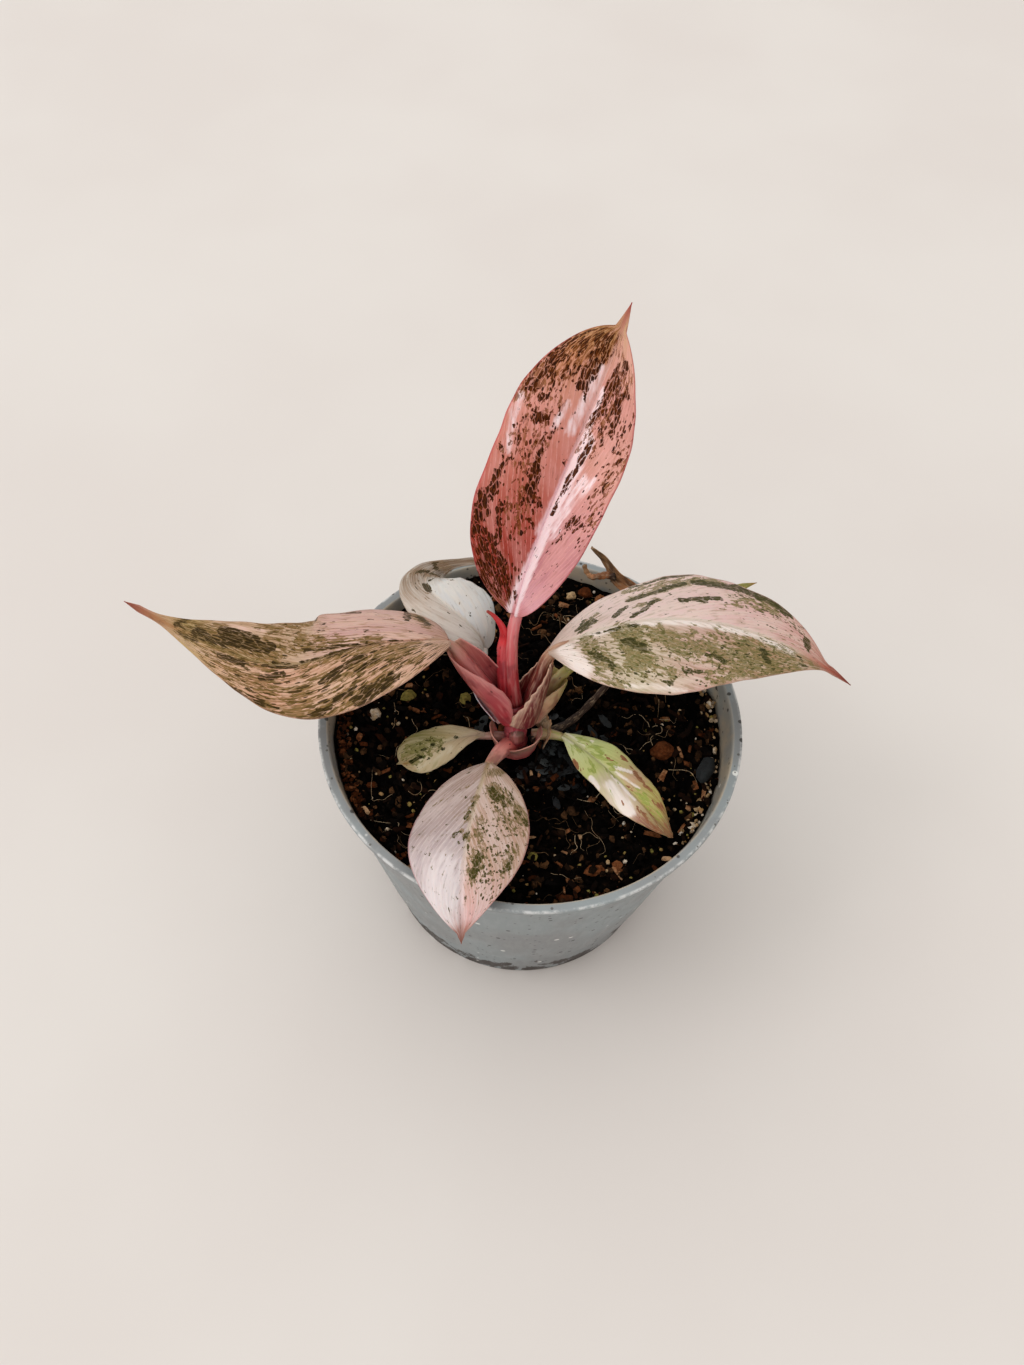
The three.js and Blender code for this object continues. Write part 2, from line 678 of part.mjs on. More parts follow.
// Each piece of the plant is cut clear of the pieces before it by the seat gap.
const stemBody = (gap) => tube(stemPath, stemRadii, { sides: stemSides, steps: 10, gap });
const spearBody = (gap) => tube(spear.path, spear.radii, { sides: 7, steps: 12, gap });
const drySheathBody = (gap) => collar({
  ...drySheath,
  low: drySheath.endTop,
  high: drySheath.top,
}, drySheath.thickness, gap);
const growth = [
  { name: 'stem', stalk: stemBody, color: 0xb5656b },
  { name: 'leaf_center', leaf: leaves.leaf_center },
  { name: 'new_leaf_spear', stalk: spearBody, color: spear.color },
  { name: 'leaf_left', leaf: leaves.leaf_left },
  { name: 'leaf_right', leaf: leaves.leaf_right },
  { name: 'leaf_back_left', leaf: leaves.leaf_back_left },
  { name: 'leaf_back_right', leaf: leaves.leaf_back_right },
  { name: 'leaf_front', leaf: leaves.leaf_front },
  { name: 'leaf_small_left', leaf: leaves.leaf_small_left },
  { name: 'leaf_small_right', leaf: leaves.leaf_small_right },
  { name: 'withered_leaf', stalk: witheredLeaf, color: withered.color },
  { name: 'dry_sheath', stalk: drySheathBody, color: drySheath.color },
];

const taken = [];
growth.forEach(({ name, leaf, stalk, color }) => {
  const stalkAt = stalk ?? ((gap) => leafStalk(leaf, gap));
  let body = leaf ? stalkAt(0).add(blade(leaf)) : stalkAt(0);
  taken.forEach((other) => {
    body = body.subtract(other);
  });
  taken.push(stalkAt(seatGap));
  plant.add(pieceMesh(name, largestBody(body), leaf ? leaf.color : color, leafRoughness));
});

const lowPaths = [leaves.leaf_small_left.midrib, leaves.leaf_small_right.midrib, withered.petiole];
const soil = buildSoil(lowPaths).subtract(stemBody(seatGap));
plant.add(pieceMesh('soil', largestBody(soil), 0x2b2320, soilRoughness));

export default plant;
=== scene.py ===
import math

import bmesh
import bpy
import numpy as np
from mathutils import Matrix, Vector


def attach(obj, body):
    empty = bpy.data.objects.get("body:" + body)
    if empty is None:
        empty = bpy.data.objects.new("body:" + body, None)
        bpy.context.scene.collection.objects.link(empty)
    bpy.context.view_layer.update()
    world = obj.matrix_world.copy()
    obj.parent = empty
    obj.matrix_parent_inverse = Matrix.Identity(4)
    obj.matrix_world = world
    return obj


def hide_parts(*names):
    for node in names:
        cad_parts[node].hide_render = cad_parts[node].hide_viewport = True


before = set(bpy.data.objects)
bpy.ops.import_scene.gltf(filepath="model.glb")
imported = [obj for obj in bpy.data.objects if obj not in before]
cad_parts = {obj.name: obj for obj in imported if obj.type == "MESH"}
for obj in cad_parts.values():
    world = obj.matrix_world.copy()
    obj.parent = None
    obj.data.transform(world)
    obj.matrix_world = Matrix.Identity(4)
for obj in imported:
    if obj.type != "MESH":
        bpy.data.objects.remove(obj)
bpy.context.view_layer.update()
millimetre = 0.001
upward = np.array([0.0, 0.0, 1.0])

# camera and light
camera = {
    "aim": (-5.2, 9.66, 75),  # the point in the middle of the picture
    "distance": 303.2,
    "elevation": 55.57,
    "roll": 3.29,
    "lens": 31.65,
    "nearest": 0.01, "farthest": 20,  # metres
}
light = {
    "keySize": 1300, "keyPlace": (-2000, -500, 2600), "keyAim": (0, 0, 60), "keyWatts": 11.5,
    "skyLow": 0.6, "skyHigh": 1.14, "skyTone": "fffdfa",
    "skyHeading": (-0.58, -0.1, 0.81),  # the brightest part of the sky
}


def tone(code):
    # a hex colour as the linear values that Blender's sockets take
    parts = [int(code[i:i + 2], 16) / 255 for i in (0, 2, 4)]
    return tuple(p / 12.92 if p <= 0.04045 else ((p + 0.055) / 1.055) ** 2.4 for p in parts) + (1,)


def link(thing):
    bpy.context.scene.collection.objects.link(thing)
    return thing


def placeCamera():
    rise, roll = math.radians(camera["elevation"]), math.radians(camera["roll"])
    back = Vector((0, -math.cos(rise), math.sin(rise)))
    right = Vector((1, 0, 0))
    over = back.cross(right)
    rolledRight = math.cos(roll) * right + math.sin(roll) * over
    rolledUp = -math.sin(roll) * right + math.cos(roll) * over
    turn = Matrix((rolledRight, rolledUp, back)).transposed().to_4x4()
    turn.translation = (Vector(camera["aim"]) + back * camera["distance"]) * millimetre
    lens = bpy.data.cameras.new("photoCamera")
    lens.lens = camera["lens"]
    lens.clip_start = camera["nearest"]
    lens.clip_end = camera["farthest"]
    body = link(bpy.data.objects.new("photoCamera", lens))
    body.matrix_world = turn
    bpy.context.scene.camera = body


def placeKeyLight():
    lamp = bpy.data.lights.new("keyLight", "AREA")
    lamp.shape = "DISK"
    lamp.size = light["keySize"] * millimetre
    lamp.energy = light["keyWatts"]
    body = link(bpy.data.objects.new("keyLight", lamp))
    body.location = Vector(light["keyPlace"]) * millimetre
    towards = Vector(light["keyAim"]) * millimetre - body.location
    body.rotation_euler = towards.to_track_quat("-Z", "Y").to_euler()


placeCamera()
placeKeyLight()


# material nodes
class Wire:
    # a node's output; a sum of wires and numbers lays the math node for it
    def __init__(self, socket):
        self.socket = socket
        self.tree = socket.id_data

    def __add__(self, other):
        return mathNode("ADD", self, other)

    def __sub__(self, other):
        return mathNode("SUBTRACT", self, other)

    def __rsub__(self, other):
        return mathNode("SUBTRACT", other, self)

    def __mul__(self, other):
        return mathNode("MULTIPLY", self, other)

    def __truediv__(self, other):
        return mathNode("DIVIDE", self, other)


def newMaterial(name):
    material = bpy.data.materials.new(name)
    material.use_nodes = True
    tree = material.node_tree
    return material, tree, tree.nodes["Principled BSDF"]


def feed(socket, value):
    # a socket takes a wire, a hex colour or a plain value
    if isinstance(value, Wire):
        value.tree.links.new(value.socket, socket)
    else:
        socket.default_value = tone(value) if isinstance(value, str) else value


def feedAll(node, values):
    for name, value in values.items():
        feed(node.inputs[name], value)


def layNode(kind, values, output=0, **settings):
    # lays a node in the tree of the wires that it takes
    tree = next(value.tree for value in values.values() if isinstance(value, Wire))
    node = tree.nodes.new("ShaderNode" + kind)
    for name, value in settings.items():
        setattr(node, name, value)
    feedAll(node, values)
    return Wire(node.outputs[output])


def mathNode(operation, *values, clamp=False):
    return layNode("Math", dict(enumerate(values)), operation=operation, use_clamp=clamp)


def blend(share, first, second):
    # by name the factor, by number the two colours of a mix node
    return layNode("Mix", {"Factor": share, 6: first, 7: second}, 2, data_type="RGBA")


def between(value, low, high, least=0.0, most=1.0):
    # a smooth step, least up to low and most from high on
    values = {"Value": value, "From Min": low, "From Max": high, "To Min": least, "To Max": most}
    return layNode("MapRange", values, interpolation_type="SMOOTHSTEP")


def colourStops(value, stops):
    # stops are written as a place in percent and its tone, in turn
    result = layNode("ValToRGB", {0: value})
    marks = result.socket.node.color_ramp.elements
    places, codes = stops.split()[::2], stops.split()[1::2]
    while len(marks) < len(codes):
        marks.new(0.5)
    for mark, place, code in zip(marks, places, codes):
        mark.position = float(place) / 100
        mark.color = tone(code)
    return result


def meshMark(tree, name, kind="Fac"):
    node = tree.nodes.new("ShaderNodeAttribute")
    node.attribute_name = name
    return Wire(node.outputs[kind])


def bodyPlace(tree):
    return Wire(tree.nodes.new("ShaderNodeTexCoord").outputs["Object"])


def split(kind, value):
    first = layNode("Separate" + kind, {0: value})
    return [Wire(output) for output in first.socket.node.outputs]


def stretched(vector, scale, shift=(0, 0, 0)):
    return layNode("Mapping", {"Vector": vector, "Scale": scale, "Location": shift})


def cloud(vector, scale=1.0, detail=3.0, rough=0.55):
    values = {"Vector": vector, "Scale": scale, "Detail": detail, "Roughness": rough}
    return layNode("TexNoise", values, "Fac")


def cells(vector, scale=1.0):
    # the distance from each cell's middle, and three random numbers for the cell
    far = layNode("TexVoronoi", {"Vector": vector, "Scale": scale}, "Distance")
    return far, split("Color", Wire(far.socket.node.outputs["Color"]))


def cellGaps(vector):
    # the distance to the border between cells
    return layNode("TexVoronoi", {"Vector": vector, "Scale": 1}, "Distance", feature="DISTANCE_TO_EDGE")


def shaken(vector, scale, amount):
    # a vector pushed about by noise, so that cells and lines aren't straight
    noise = layNode("TexNoise", {"Vector": vector, "Scale": scale, "Detail": 2}, "Color")
    return layNode("VectorMath", {0: noise, 1: (amount, amount, 0), 2: vector}, operation="MULTIPLY_ADD")


def relief(height, distance, strength=1.0):
    return layNode("Bump", {"Strength": strength, "Distance": distance * millimetre, "Height": height})


def softSky():
    # brighter overhead and to the back left, dimmer towards the horizon
    world = bpy.data.worlds.new("softSky")
    bpy.context.scene.world = world
    world.use_nodes = True
    tree = world.node_tree
    heading = Wire(tree.nodes.new("ShaderNodeTexCoord").outputs["Generated"])
    facing = layNode("VectorMath", {0: heading, 1: light["skyHeading"]}, "Value", operation="DOT_PRODUCT")
    glow = between(facing, -0.1, 1, light["skyLow"], light["skyHigh"])
    feedAll(tree.nodes["Background"], {"Color": light["skyTone"], "Strength": glow})


softSky()
bpy.context.scene.view_settings.view_transform = "Standard"
bpy.context.scene.view_settings.look = "Medium High Contrast"
print("camera and lights are set")


# mesh making
tangentReach = 0.002  # share of a path, to each side, that gives its direction


def arcShares(points):
    steps = np.linalg.norm(np.diff(points, axis=0), axis=1)
    run = np.concatenate([[0], np.cumsum(steps)])
    return run / run[-1], run[-1]


def pointsAt(path, shares):
    run, _ = arcShares(path)
    return np.stack([np.interp(shares, run, path[:, k]) for k in range(3)], -1)


def bezierPath(handles, count=600):
    a, b, c, d = np.array(handles, float)
    t = np.linspace(0, 1, count)[:, None]
    return (1 - t) ** 3 * a + 3 * (1 - t) ** 2 * t * b + 3 * (1 - t) * t * t * c + t ** 3 * d


def smoothPath(knots, perSpan=60):
    # a centripetal curve through the knots
    knots = np.array(knots, float)
    padded = np.vstack([2 * knots[0] - knots[1], knots, 2 * knots[-1] - knots[-2]])
    spans = []
    for i in range(1, len(padded) - 2):
        p0, p1, p2, p3 = padded[i - 1:i + 3]
        d0, d1, d2 = (np.linalg.norm(q - p) ** 0.5 for p, q in ((p0, p1), (p1, p2), (p2, p3)))
        out = ((p1 - p0) / d0 - (p2 - p0) / (d0 + d1) + (p2 - p1) / d1) * d1
        into = ((p2 - p1) / d1 - (p3 - p1) / (d1 + d2) + (p3 - p2) / d2) * d1
        t = np.linspace(0, 1, perSpan, endpoint=False)[:, None]
        spans.append(
            (2 * t ** 3 - 3 * t ** 2 + 1) * p1 + (t ** 3 - 2 * t ** 2 + t) * out
            + (3 * t ** 2 - 2 * t ** 3) * p2 + (t ** 3 - t ** 2) * into
        )
    return np.vstack(spans + [knots[-1:]])


def unit(vectors):
    return vectors / np.maximum(np.linalg.norm(vectors, axis=-1, keepdims=True), 1e-12)


def framesAlong(path, shares):
    # points of a path, and the directions forward, to the right and above
    place = pointsAt(path, shares)
    ahead = pointsAt(path, np.clip(shares + tangentReach, 0, 1))
    behind = pointsAt(path, np.clip(shares - tangentReach, 0, 1))
    forward = unit(ahead - behind)
    right = unit(np.cross(forward, upward))
    return place, forward, right, np.cross(right, forward)


def bendAt(values, q):
    base, middle, tip = values
    return base * (1 - q) * (1 - 2 * q) + middle * 4 * q * (1 - q) + tip * q * (2 * q - 1)


def valueAt(values, t):
    return np.interp(t, np.linspace(0, 1, len(values)), values)


def bell(value, middle, reach):
    return np.exp(-((value - middle) / reach) ** 2)


def gridNormals(points):
    along = np.gradient(points, axis=0)
    across = np.gradient(points, axis=1)
    return unit(np.cross(across, along))


def closeSheet(middle, thick, normal, marks, sink=0.0):
    # a grid of points thickened both ways into one closed skin;
    # sink lowers its top, and its bottom by half as much
    top = middle + (thick / 2 - sink)[..., None] * normal
    bottom = middle - (thick / 2 + 0.5 * sink)[..., None] * normal
    rows, columns = top.shape[:2]
    count = rows * columns
    index = np.arange(count).reshape(rows, columns)
    quads = np.stack([index[:-1, :-1], index[:-1, 1:], index[1:, 1:], index[1:, :-1]], -1).reshape(-1, 4)
    edge = np.concatenate([index[0, :-1], index[:-1, -1], index[-1, :0:-1], index[:0:-1, 0]])
    after = np.roll(edge, -1)
    rim = np.stack([after, edge, edge + count, after + count], -1)
    doubled = {name: np.concatenate([flat(value, count)] * 2) for name, value in marks.items()}
    doubled["under"] = np.repeat([0.0, 1.0], count)
    return {
        "points": np.vstack([top.reshape(-1, 3), bottom.reshape(-1, 3)]),
        "faces": [np.vstack([quads, quads[:, ::-1] + count, rim])],
        "marks": doubled,
    }


def flat(value, count):
    # one row for each point, of one number or three
    value = np.asarray(value, float)
    return value.reshape(count, -1) if value.size == 3 * count else value.reshape(count)


def ringFaces(rows, columns):
    # quads round a stack of rings, and a fan of triangles at each end
    index = np.arange(rows * columns).reshape(rows, columns)
    beside = np.roll(index, -1, axis=1)
    quads = np.stack([index[:-1], beside[:-1], beside[1:], index[1:]], -1).reshape(-1, 4)
    first = np.stack([beside[0], index[0], np.full(columns, rows * columns)], -1)
    last = np.stack([index[-1], beside[-1], np.full(columns, rows * columns + 1)], -1)
    return [quads, first, last]


def tubePart(path, radii, sides=20, steps=60, wobble=None):
    # a tube along a path, closed by a point at each end
    shares = np.linspace(0, 1, steps + 1)
    place = pointsAt(path, shares)
    forward = unit(np.gradient(place, axis=0))
    side = unit(np.cross(forward[0], upward + 1e-3))
    turns = []
    for direction in forward:
        side = unit(side - direction * (side @ direction))
        turns.append(side)
    side = np.array(turns)
    other = np.cross(forward, side)
    angle = np.arange(sides) * 2 * np.pi / sides
    radius = valueAt(radii, shares)[:, None] * np.ones(sides)
    if wobble is not None:
        radius = radius * wobble(shares[:, None], angle[None, :])
    ring = np.cos(angle)[None, :, None] * side[:, None] + np.sin(angle)[None, :, None] * other[:, None]
    points = place[:, None] + radius[..., None] * ring
    ends = np.stack([place[0] - forward[0] * radii[0] * 0.3, place[-1] + forward[-1] * radii[-1] * 0.5])
    _, length = arcShares(path)
    lengthwise = shares[:, None] * length + 0 * radius
    fibre = np.stack([np.cos(angle) * radius, np.sin(angle) * radius, lengthwise], -1).reshape(-1, 3)
    fibre = np.vstack([fibre, [[0, 0, 0], [0, 0, length]]])
    return {
        "points": np.vstack([points.reshape(-1, 3), ends]),
        "faces": ringFaces(steps + 1, sides),
        "marks": {"along": np.concatenate([np.repeat(shares, sides), [0, 1]]), "fibre": fibre},
    }


def signedVolume(points, faces):
    total = 0.0
    for group in faces:
        for k in range(1, group.shape[1] - 1):
            a, b, c = points[group[:, 0]], points[group[:, k]], points[group[:, k + 1]]
            total += np.einsum("ij,ij->i", a, np.cross(b, c)).sum() / 6
    return total


scalarMarks = (
    "side", "along", "dark", "olive", "pale", "speck", "rib", "under", "tint", "sheath", "hollow",
)
vectorMarks = ("veinPlace", "fibre")


def makePiece(name, parts, materials, node, sharp=None):
    # joins the parts into one object, which stands for a CAD node
    points, faces, slots, marks = [], [], [], {key: [] for key in scalarMarks + vectorMarks}
    start = 0
    for part in parts:
        count = len(part["points"])
        groups = part["faces"]
        if signedVolume(part["points"], groups) < 0:
            groups = [group[:, ::-1] for group in groups]
        for group in groups:
            faces.extend((group + start).tolist())
            slots.extend([part.get("material", 0)] * len(group))
        for key in scalarMarks:
            marks[key].append(part["marks"].get(key, np.zeros(count)))
        for key in vectorMarks:
            marks[key].append(part["marks"].get(key, np.zeros((count, 3))))
        points.append(part["points"])
        start += count
    mesh = bpy.data.meshes.new(name)
    mesh.from_pydata((np.vstack(points) * millimetre).tolist(), [], faces)
    for key in scalarMarks + vectorMarks:
        values = np.concatenate(marks[key]).astype(np.float32)
        if np.ptp(values) > 0:
            kind, field = ("FLOAT", "value") if key in scalarMarks else ("FLOAT_VECTOR", "vector")
            mesh.attributes.new(key, kind, "POINT").data.foreach_set(field, values.ravel())
    mesh.polygons.foreach_set("material_index", slots)
    mesh.shade_smooth()
    if sharp:
        mesh.set_sharp_from_angle(angle=math.radians(sharp))
    piece = link(bpy.data.objects.new(name, mesh))
    for material in materials:
        mesh.materials.append(material)
    mesh.update()
    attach(piece, "root")
    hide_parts(node)
    print(name, "has", sum(len(face.vertices) - 2 for face in mesh.polygons), "triangles")
    return piece


# leaves
blade = {
    "endCrowding": 0.09,  # rows stand closer together at the base and the tip
    "columnCrowding": 1.3,  # columns stand closer together at the midrib
    "thickMiddle": 0.56, "thickMargin": 0.26,
    "thinning": ([0, 0.9, 1], [1, 0.8, 0.45]),  # shares of the thickness, from base to tip
    "grooveDepth": 0.3, "grooveWidth": 0.5,
    "quilting": 0.07, "veinPitch": 2.1,
    "marginWave": 0.16, "marginWaves": 9, "leftShift": 0.3,
    "tipHalfWidth": 0.1,
    "midribStops": [0.1, 0.3, 0.55, 0.8], "midribSink": 1.05, "midribEndRadius": 0.4,
}

# lift: degrees of the left half and of the right one, at the base, the middle and the tip.
# A stroke of paint on a blade: side and along of its two ends in percent, its radius in millimetres
# and its strength in percent.
# A swell of a margin: the side, its middle along the leaf, its reach, and its share of the width.
centreLeaf = {
    "slot": "leaf_pink", "grid": (150, 67),
    "midrib": [[-5.7, 8.4, 105], [-2.1, 13.1, 130.5], [9.5, 33.2, 145.7], [14.2, 35.7, 172.3]],
    "halfWidth": 16.4, "rise": 0.65, "fall": 0.59, "dripFrom": 0.92, "dripWidth": 1.6, "skew": -0.114,
    "lift": ([18, 49, 3], [25, 17, 10]), "arch": 0.06, "ripple": 0.9, "ripples": 2.6, "rippleStart": 0.1,
    "veinSlope": 0.75,
    "petiole": [[-4.4, -1.4, 82.4], [-5.3, 0.6, 87.5], [-5.8, 3.2, 93], [-5.8, 6.4, 99]],
    "radii": [2.2, 1.9, 1.7, 1.5, 1.4], "edge": "cfa09a",
    "markGrain": 0.6, "engraving": 0.3, "net": 0.75, "mottle": 0.15, "veins": 0.55, "oliveStrength": 0.75,
    "gloss": 0.26, "coat": 0.07,
    "dark": [
        (-35, 8, -55, 20, 2, 62), (-60, 7, -95, 12, 1.6, 60), (-75, 14, -78, 24, 2.2, 70),
        (-86, 24, -90, 36, 1.9, 66), (-80, 36, -82, 45, 1.3, 50), (-55, 24, -62, 36, 1, 45),
        (-28, 38, -36, 48, 1.1, 72), (-36, 48, -42, 56, 0.9, 55), (-15, 30, -20, 42, 0.8, 35),
        (-24, 74, -26, 88, 1.3, 66), (-40, 87, -90, 85, 2.4, 46), (-85, 70, -95, 82, 2.6, 42),
        (-60, 60, -50, 84, 4, 27), (-70, 48, -40, 66, 3.4, 22), (40, 30, 54, 39, 0.9, 62),
        (62, 37, 70, 42, 1.2, 42), (10, 36, 16, 46, 0.7, 55), (18, 48, 28, 60, 1, 66),
        (14, 66, 30, 70, 1.5, 50), (20, 72, 34, 80, 1.7, 56), (36, 80, 60, 84, 1.8, 58),
        (50, 70, 70, 77, 2, 50), (60, 66, 50, 80, 1.6, 48), (30, 60, 60, 70, 2.6, 28),
        (90, 40, 85, 70, 2.2, 22),
    ],
    "olive": [
        (-50, 4, -100, 10, 2.2, 50), (-95, 68, -75, 84, 4, 60), (-60, 76, -40, 88, 3.4, 50),
        (-95, 88, -40, 89, 2, 60), (-36, 32, -50, 56, 2.6, 45), (20, 60, 60, 80, 3.4, 50),
        (85, 42, 90, 62, 2, 40), (-75, 50, -50, 66, 3, 35), (40, 86, 20, 90, 1.4, 40),
    ],
    # pale strokes: mostly painted highlights, the sheen right of the midrib, beside the dark streaks and on
    # the left ridge; the rest are pale parts of the blade
    "pale": [
        (6, 2, 12, 30, 1.9, 100), (8, 30, 20, 60, 2.2, 95), (10, 60, 12, 74, 1.2, 70),
        (28, 34, 42, 50, 1.8, 60), (-80, 50, -95, 66, 1.3, 50), (40, 40, 60, 52, 1, 50),
        (30, 30, 40, 34, 0.7, 50), (-14, 60, -10, 80, 1.2, 60), (-35, 60, -30, 68, 0.8, 50),
    ],
    "speck": [
        (-30, 12, -50, 60, 4, 60), (-80, 40, -60, 70, 3.5, 40), (-90, 72, -40, 86, 5, 60),
        (90, 35, 85, 72, 3, 62), (45, 50, 50, 65, 3, 50), (30, 60, 60, 85, 4, 40),
        (60, 12, 80, 30, 3, 25),
    ],
    "leftTones": "0 8c302c 12 90362c 26 ac5044 48 c87e70 66 d89c90 "
                 "80 b8805e 90 b0885e 97 ac805c 100 a03038",
    "rightTones": "0 c0686e 8 d8a4ac 22 be848a 40 cc9492 55 cc988c 75 cc948a "
                  "88 cca08c 93 c8a480 97.5 b48a70 100 a02c34",
    "ribTones": "0 d58a8e 10 efd0d6 45 e6c4c8 75 dcb8b2 90 c89a88 100 b05a50",
    "stalkTones": "0 a8383c 35 b04246 70 c8686a 100 d48488",
    "darkTones": ("280e00", "643206"), "oliveTones": ("6c3c14", "8c5c2c"), "paleAndSheenTone": "f6e4e8",
    "veinTone": "e0aaa4", "marginAndEdgeHighlightTone": "b0404c", "underTone": "b87c76",
}
leftLeaf = {
    "slot": "leaf_pink_olive", "grid": (168, 71),
    "midrib": [[-20.4, 3.4, 99.6], [-61.2, -2, 106.2], [-41.6, -16.1, 92], [-99.8, 13.7, 94.2]],
    "halfWidth": 17.5, "rise": 0.39, "fall": 1.44, "dripFrom": 0.95, "dripWidth": 0.9, "skew": 0.118,
    "swells": [(1, 0.27, 0.07, -0.075), (1, 0.5, 0.075, 0.13)],
    "lift": ([45, -34, -56], [-31, -8, 55]), "arch": 0.06, "ripple": 0.5, "ripples": 3,
    "rippleStart": 0.3, "veinSlope": 0.7,
    "petiole": [[-6.1, -2.7, 78.3], [-8.9, -1.8, 83.6], [-12.7, -0.6, 88.9], [-16.6, 1.2, 94.4]],
    "radii": [2.2, 2.3, 2.2, 2, 1.5], "edge": "c48a84",
    "sheath": {
        "from": 0.02, "to": 0.95, "radii": [3.6, 4, 4.1, 3.9, 3], "left": [105, 150, 60],
        "right": [80, 112, 60], "frill": 3,
    },
    "markGrain": 0.34, "engraving": 0.85, "net": 0.6, "mottle": 0.6, "veins": 0.45, "oliveStrength": 0.85,
    "gloss": 0.36, "coat": 0.035,
    "dark": [
        (2, 3, 3, 50, 0.32, 50), (-85, 17, -92, 28, 1.5, 85), (-75, 18, -80, 26, 1.1, 70),
        (-75, 30, -90, 38, 1.2, 60), (-20, 24, -42, 36, 0.9, 90), (-35, 20, -45, 27, 0.7, 55),
        (-20, 46, -40, 52, 0.8, 95), (-18, 58, -26, 66, 0.8, 90), (-4, 42, -6, 52, 0.45, 70),
        (5, 24, 25, 40, 0.55, 60), (5, 22, -5, 36, 0.4, 50), (30, 53, 40, 60, 1.3, 100),
        (30, 60, 32, 66, 1, 90), (50, 59, 58, 69, 1.1, 95), (10, 66, 30, 76, 1, 60),
        (35, 66, 55, 76, 0.8, 40), (55, 5, 85, 6, 0.9, 90), (60, 10, 100, 9, 0.8, 85),
        (92, 22, 96, 27, 0.7, 80), (95, 35, 100, 40, 0.6, 60), (30, 82, 90, 80, 0.9, 50),
        (-95, 50, -100, 62, 0.8, 60), (-20, 74, -10, 80, 0.8, 40),
    ],
    "olive": [
        (-50, 5, -30, 12, 2.6, 50), (-20, 10, -45, 30, 2.6, 75), (-80, 20, -90, 36, 3.4, 70),
        (-95, 36, -90, 50, 2.6, 70), (-5, 18, -10, 40, 1.8, 60), (10, 20, 40, 45, 2.2, 70),
        (30, 30, 70, 50, 2, 60), (50, 50, 70, 55, 2, 50), (20, 50, 35, 70, 2.6, 80),
        (15, 70, 70, 80, 3, 55), (-25, 70, 0, 80, 2, 50), (90, 40, 97, 60, 1.6, 60),
        (50, 5, 100, 8, 1.6, 70), (-50, 40, -60, 60, 3, 60), (-60, 10, -50, 40, 4, 50),
        (-80, 50, -30, 70, 3, 50), (-10, 50, 10, 70, 1.6, 60),
    ],
    "pale": [(-35, 41, -15, 44, 0.9, 30), (72, 58, 82, 72, 1, 50), (-50, 68, -30, 80, 2, 35)],
    "speck": [
        (-60, 8, -90, 50, 8, 75), (-40, 30, -50, 70, 7, 55), (30, 5, 70, 30, 7, 30),
        (20, 40, 50, 60, 5, 50), (-30, 15, -30, 40, 5, 55), (30, 60, 60, 85, 5, 40),
    ],
    "leftTones": "0 a08070 8 b4907e 30 ba9680 50 ba8e78 65 ba967a "
                 "78 b49c70 86 b08c6c 93 a86c60 100 8e4c4c",
    "rightTones": "0 9b796e 10 bc9a92 30 bc9892 42 a88e78 55 a4876c 70 ac9076 "
                  "80 a08a5c 88 ac8662 94 a86c60 100 8e4c4c",
    "ribTones": "0 a86a54 10 b28a76 40 9c866a 70 a08a62 90 a87858 100 94504a",
    "stalkTones": "0 b23c46 40 a84e54 80 b4706a 100 9c7e66",
    "darkTones": ("2c200a", "4c3c1a"), "oliveTones": ("665428", "866840"), "paleAndSheenTone": "dcbcb0",
    # this leaf's pale margin tone is a painted edge highlight, a thin light outline along the edge
    "veinTone": "d4b8a4", "marginAndEdgeHighlightTone": "b08c7c", "underTone": "b09888",
}
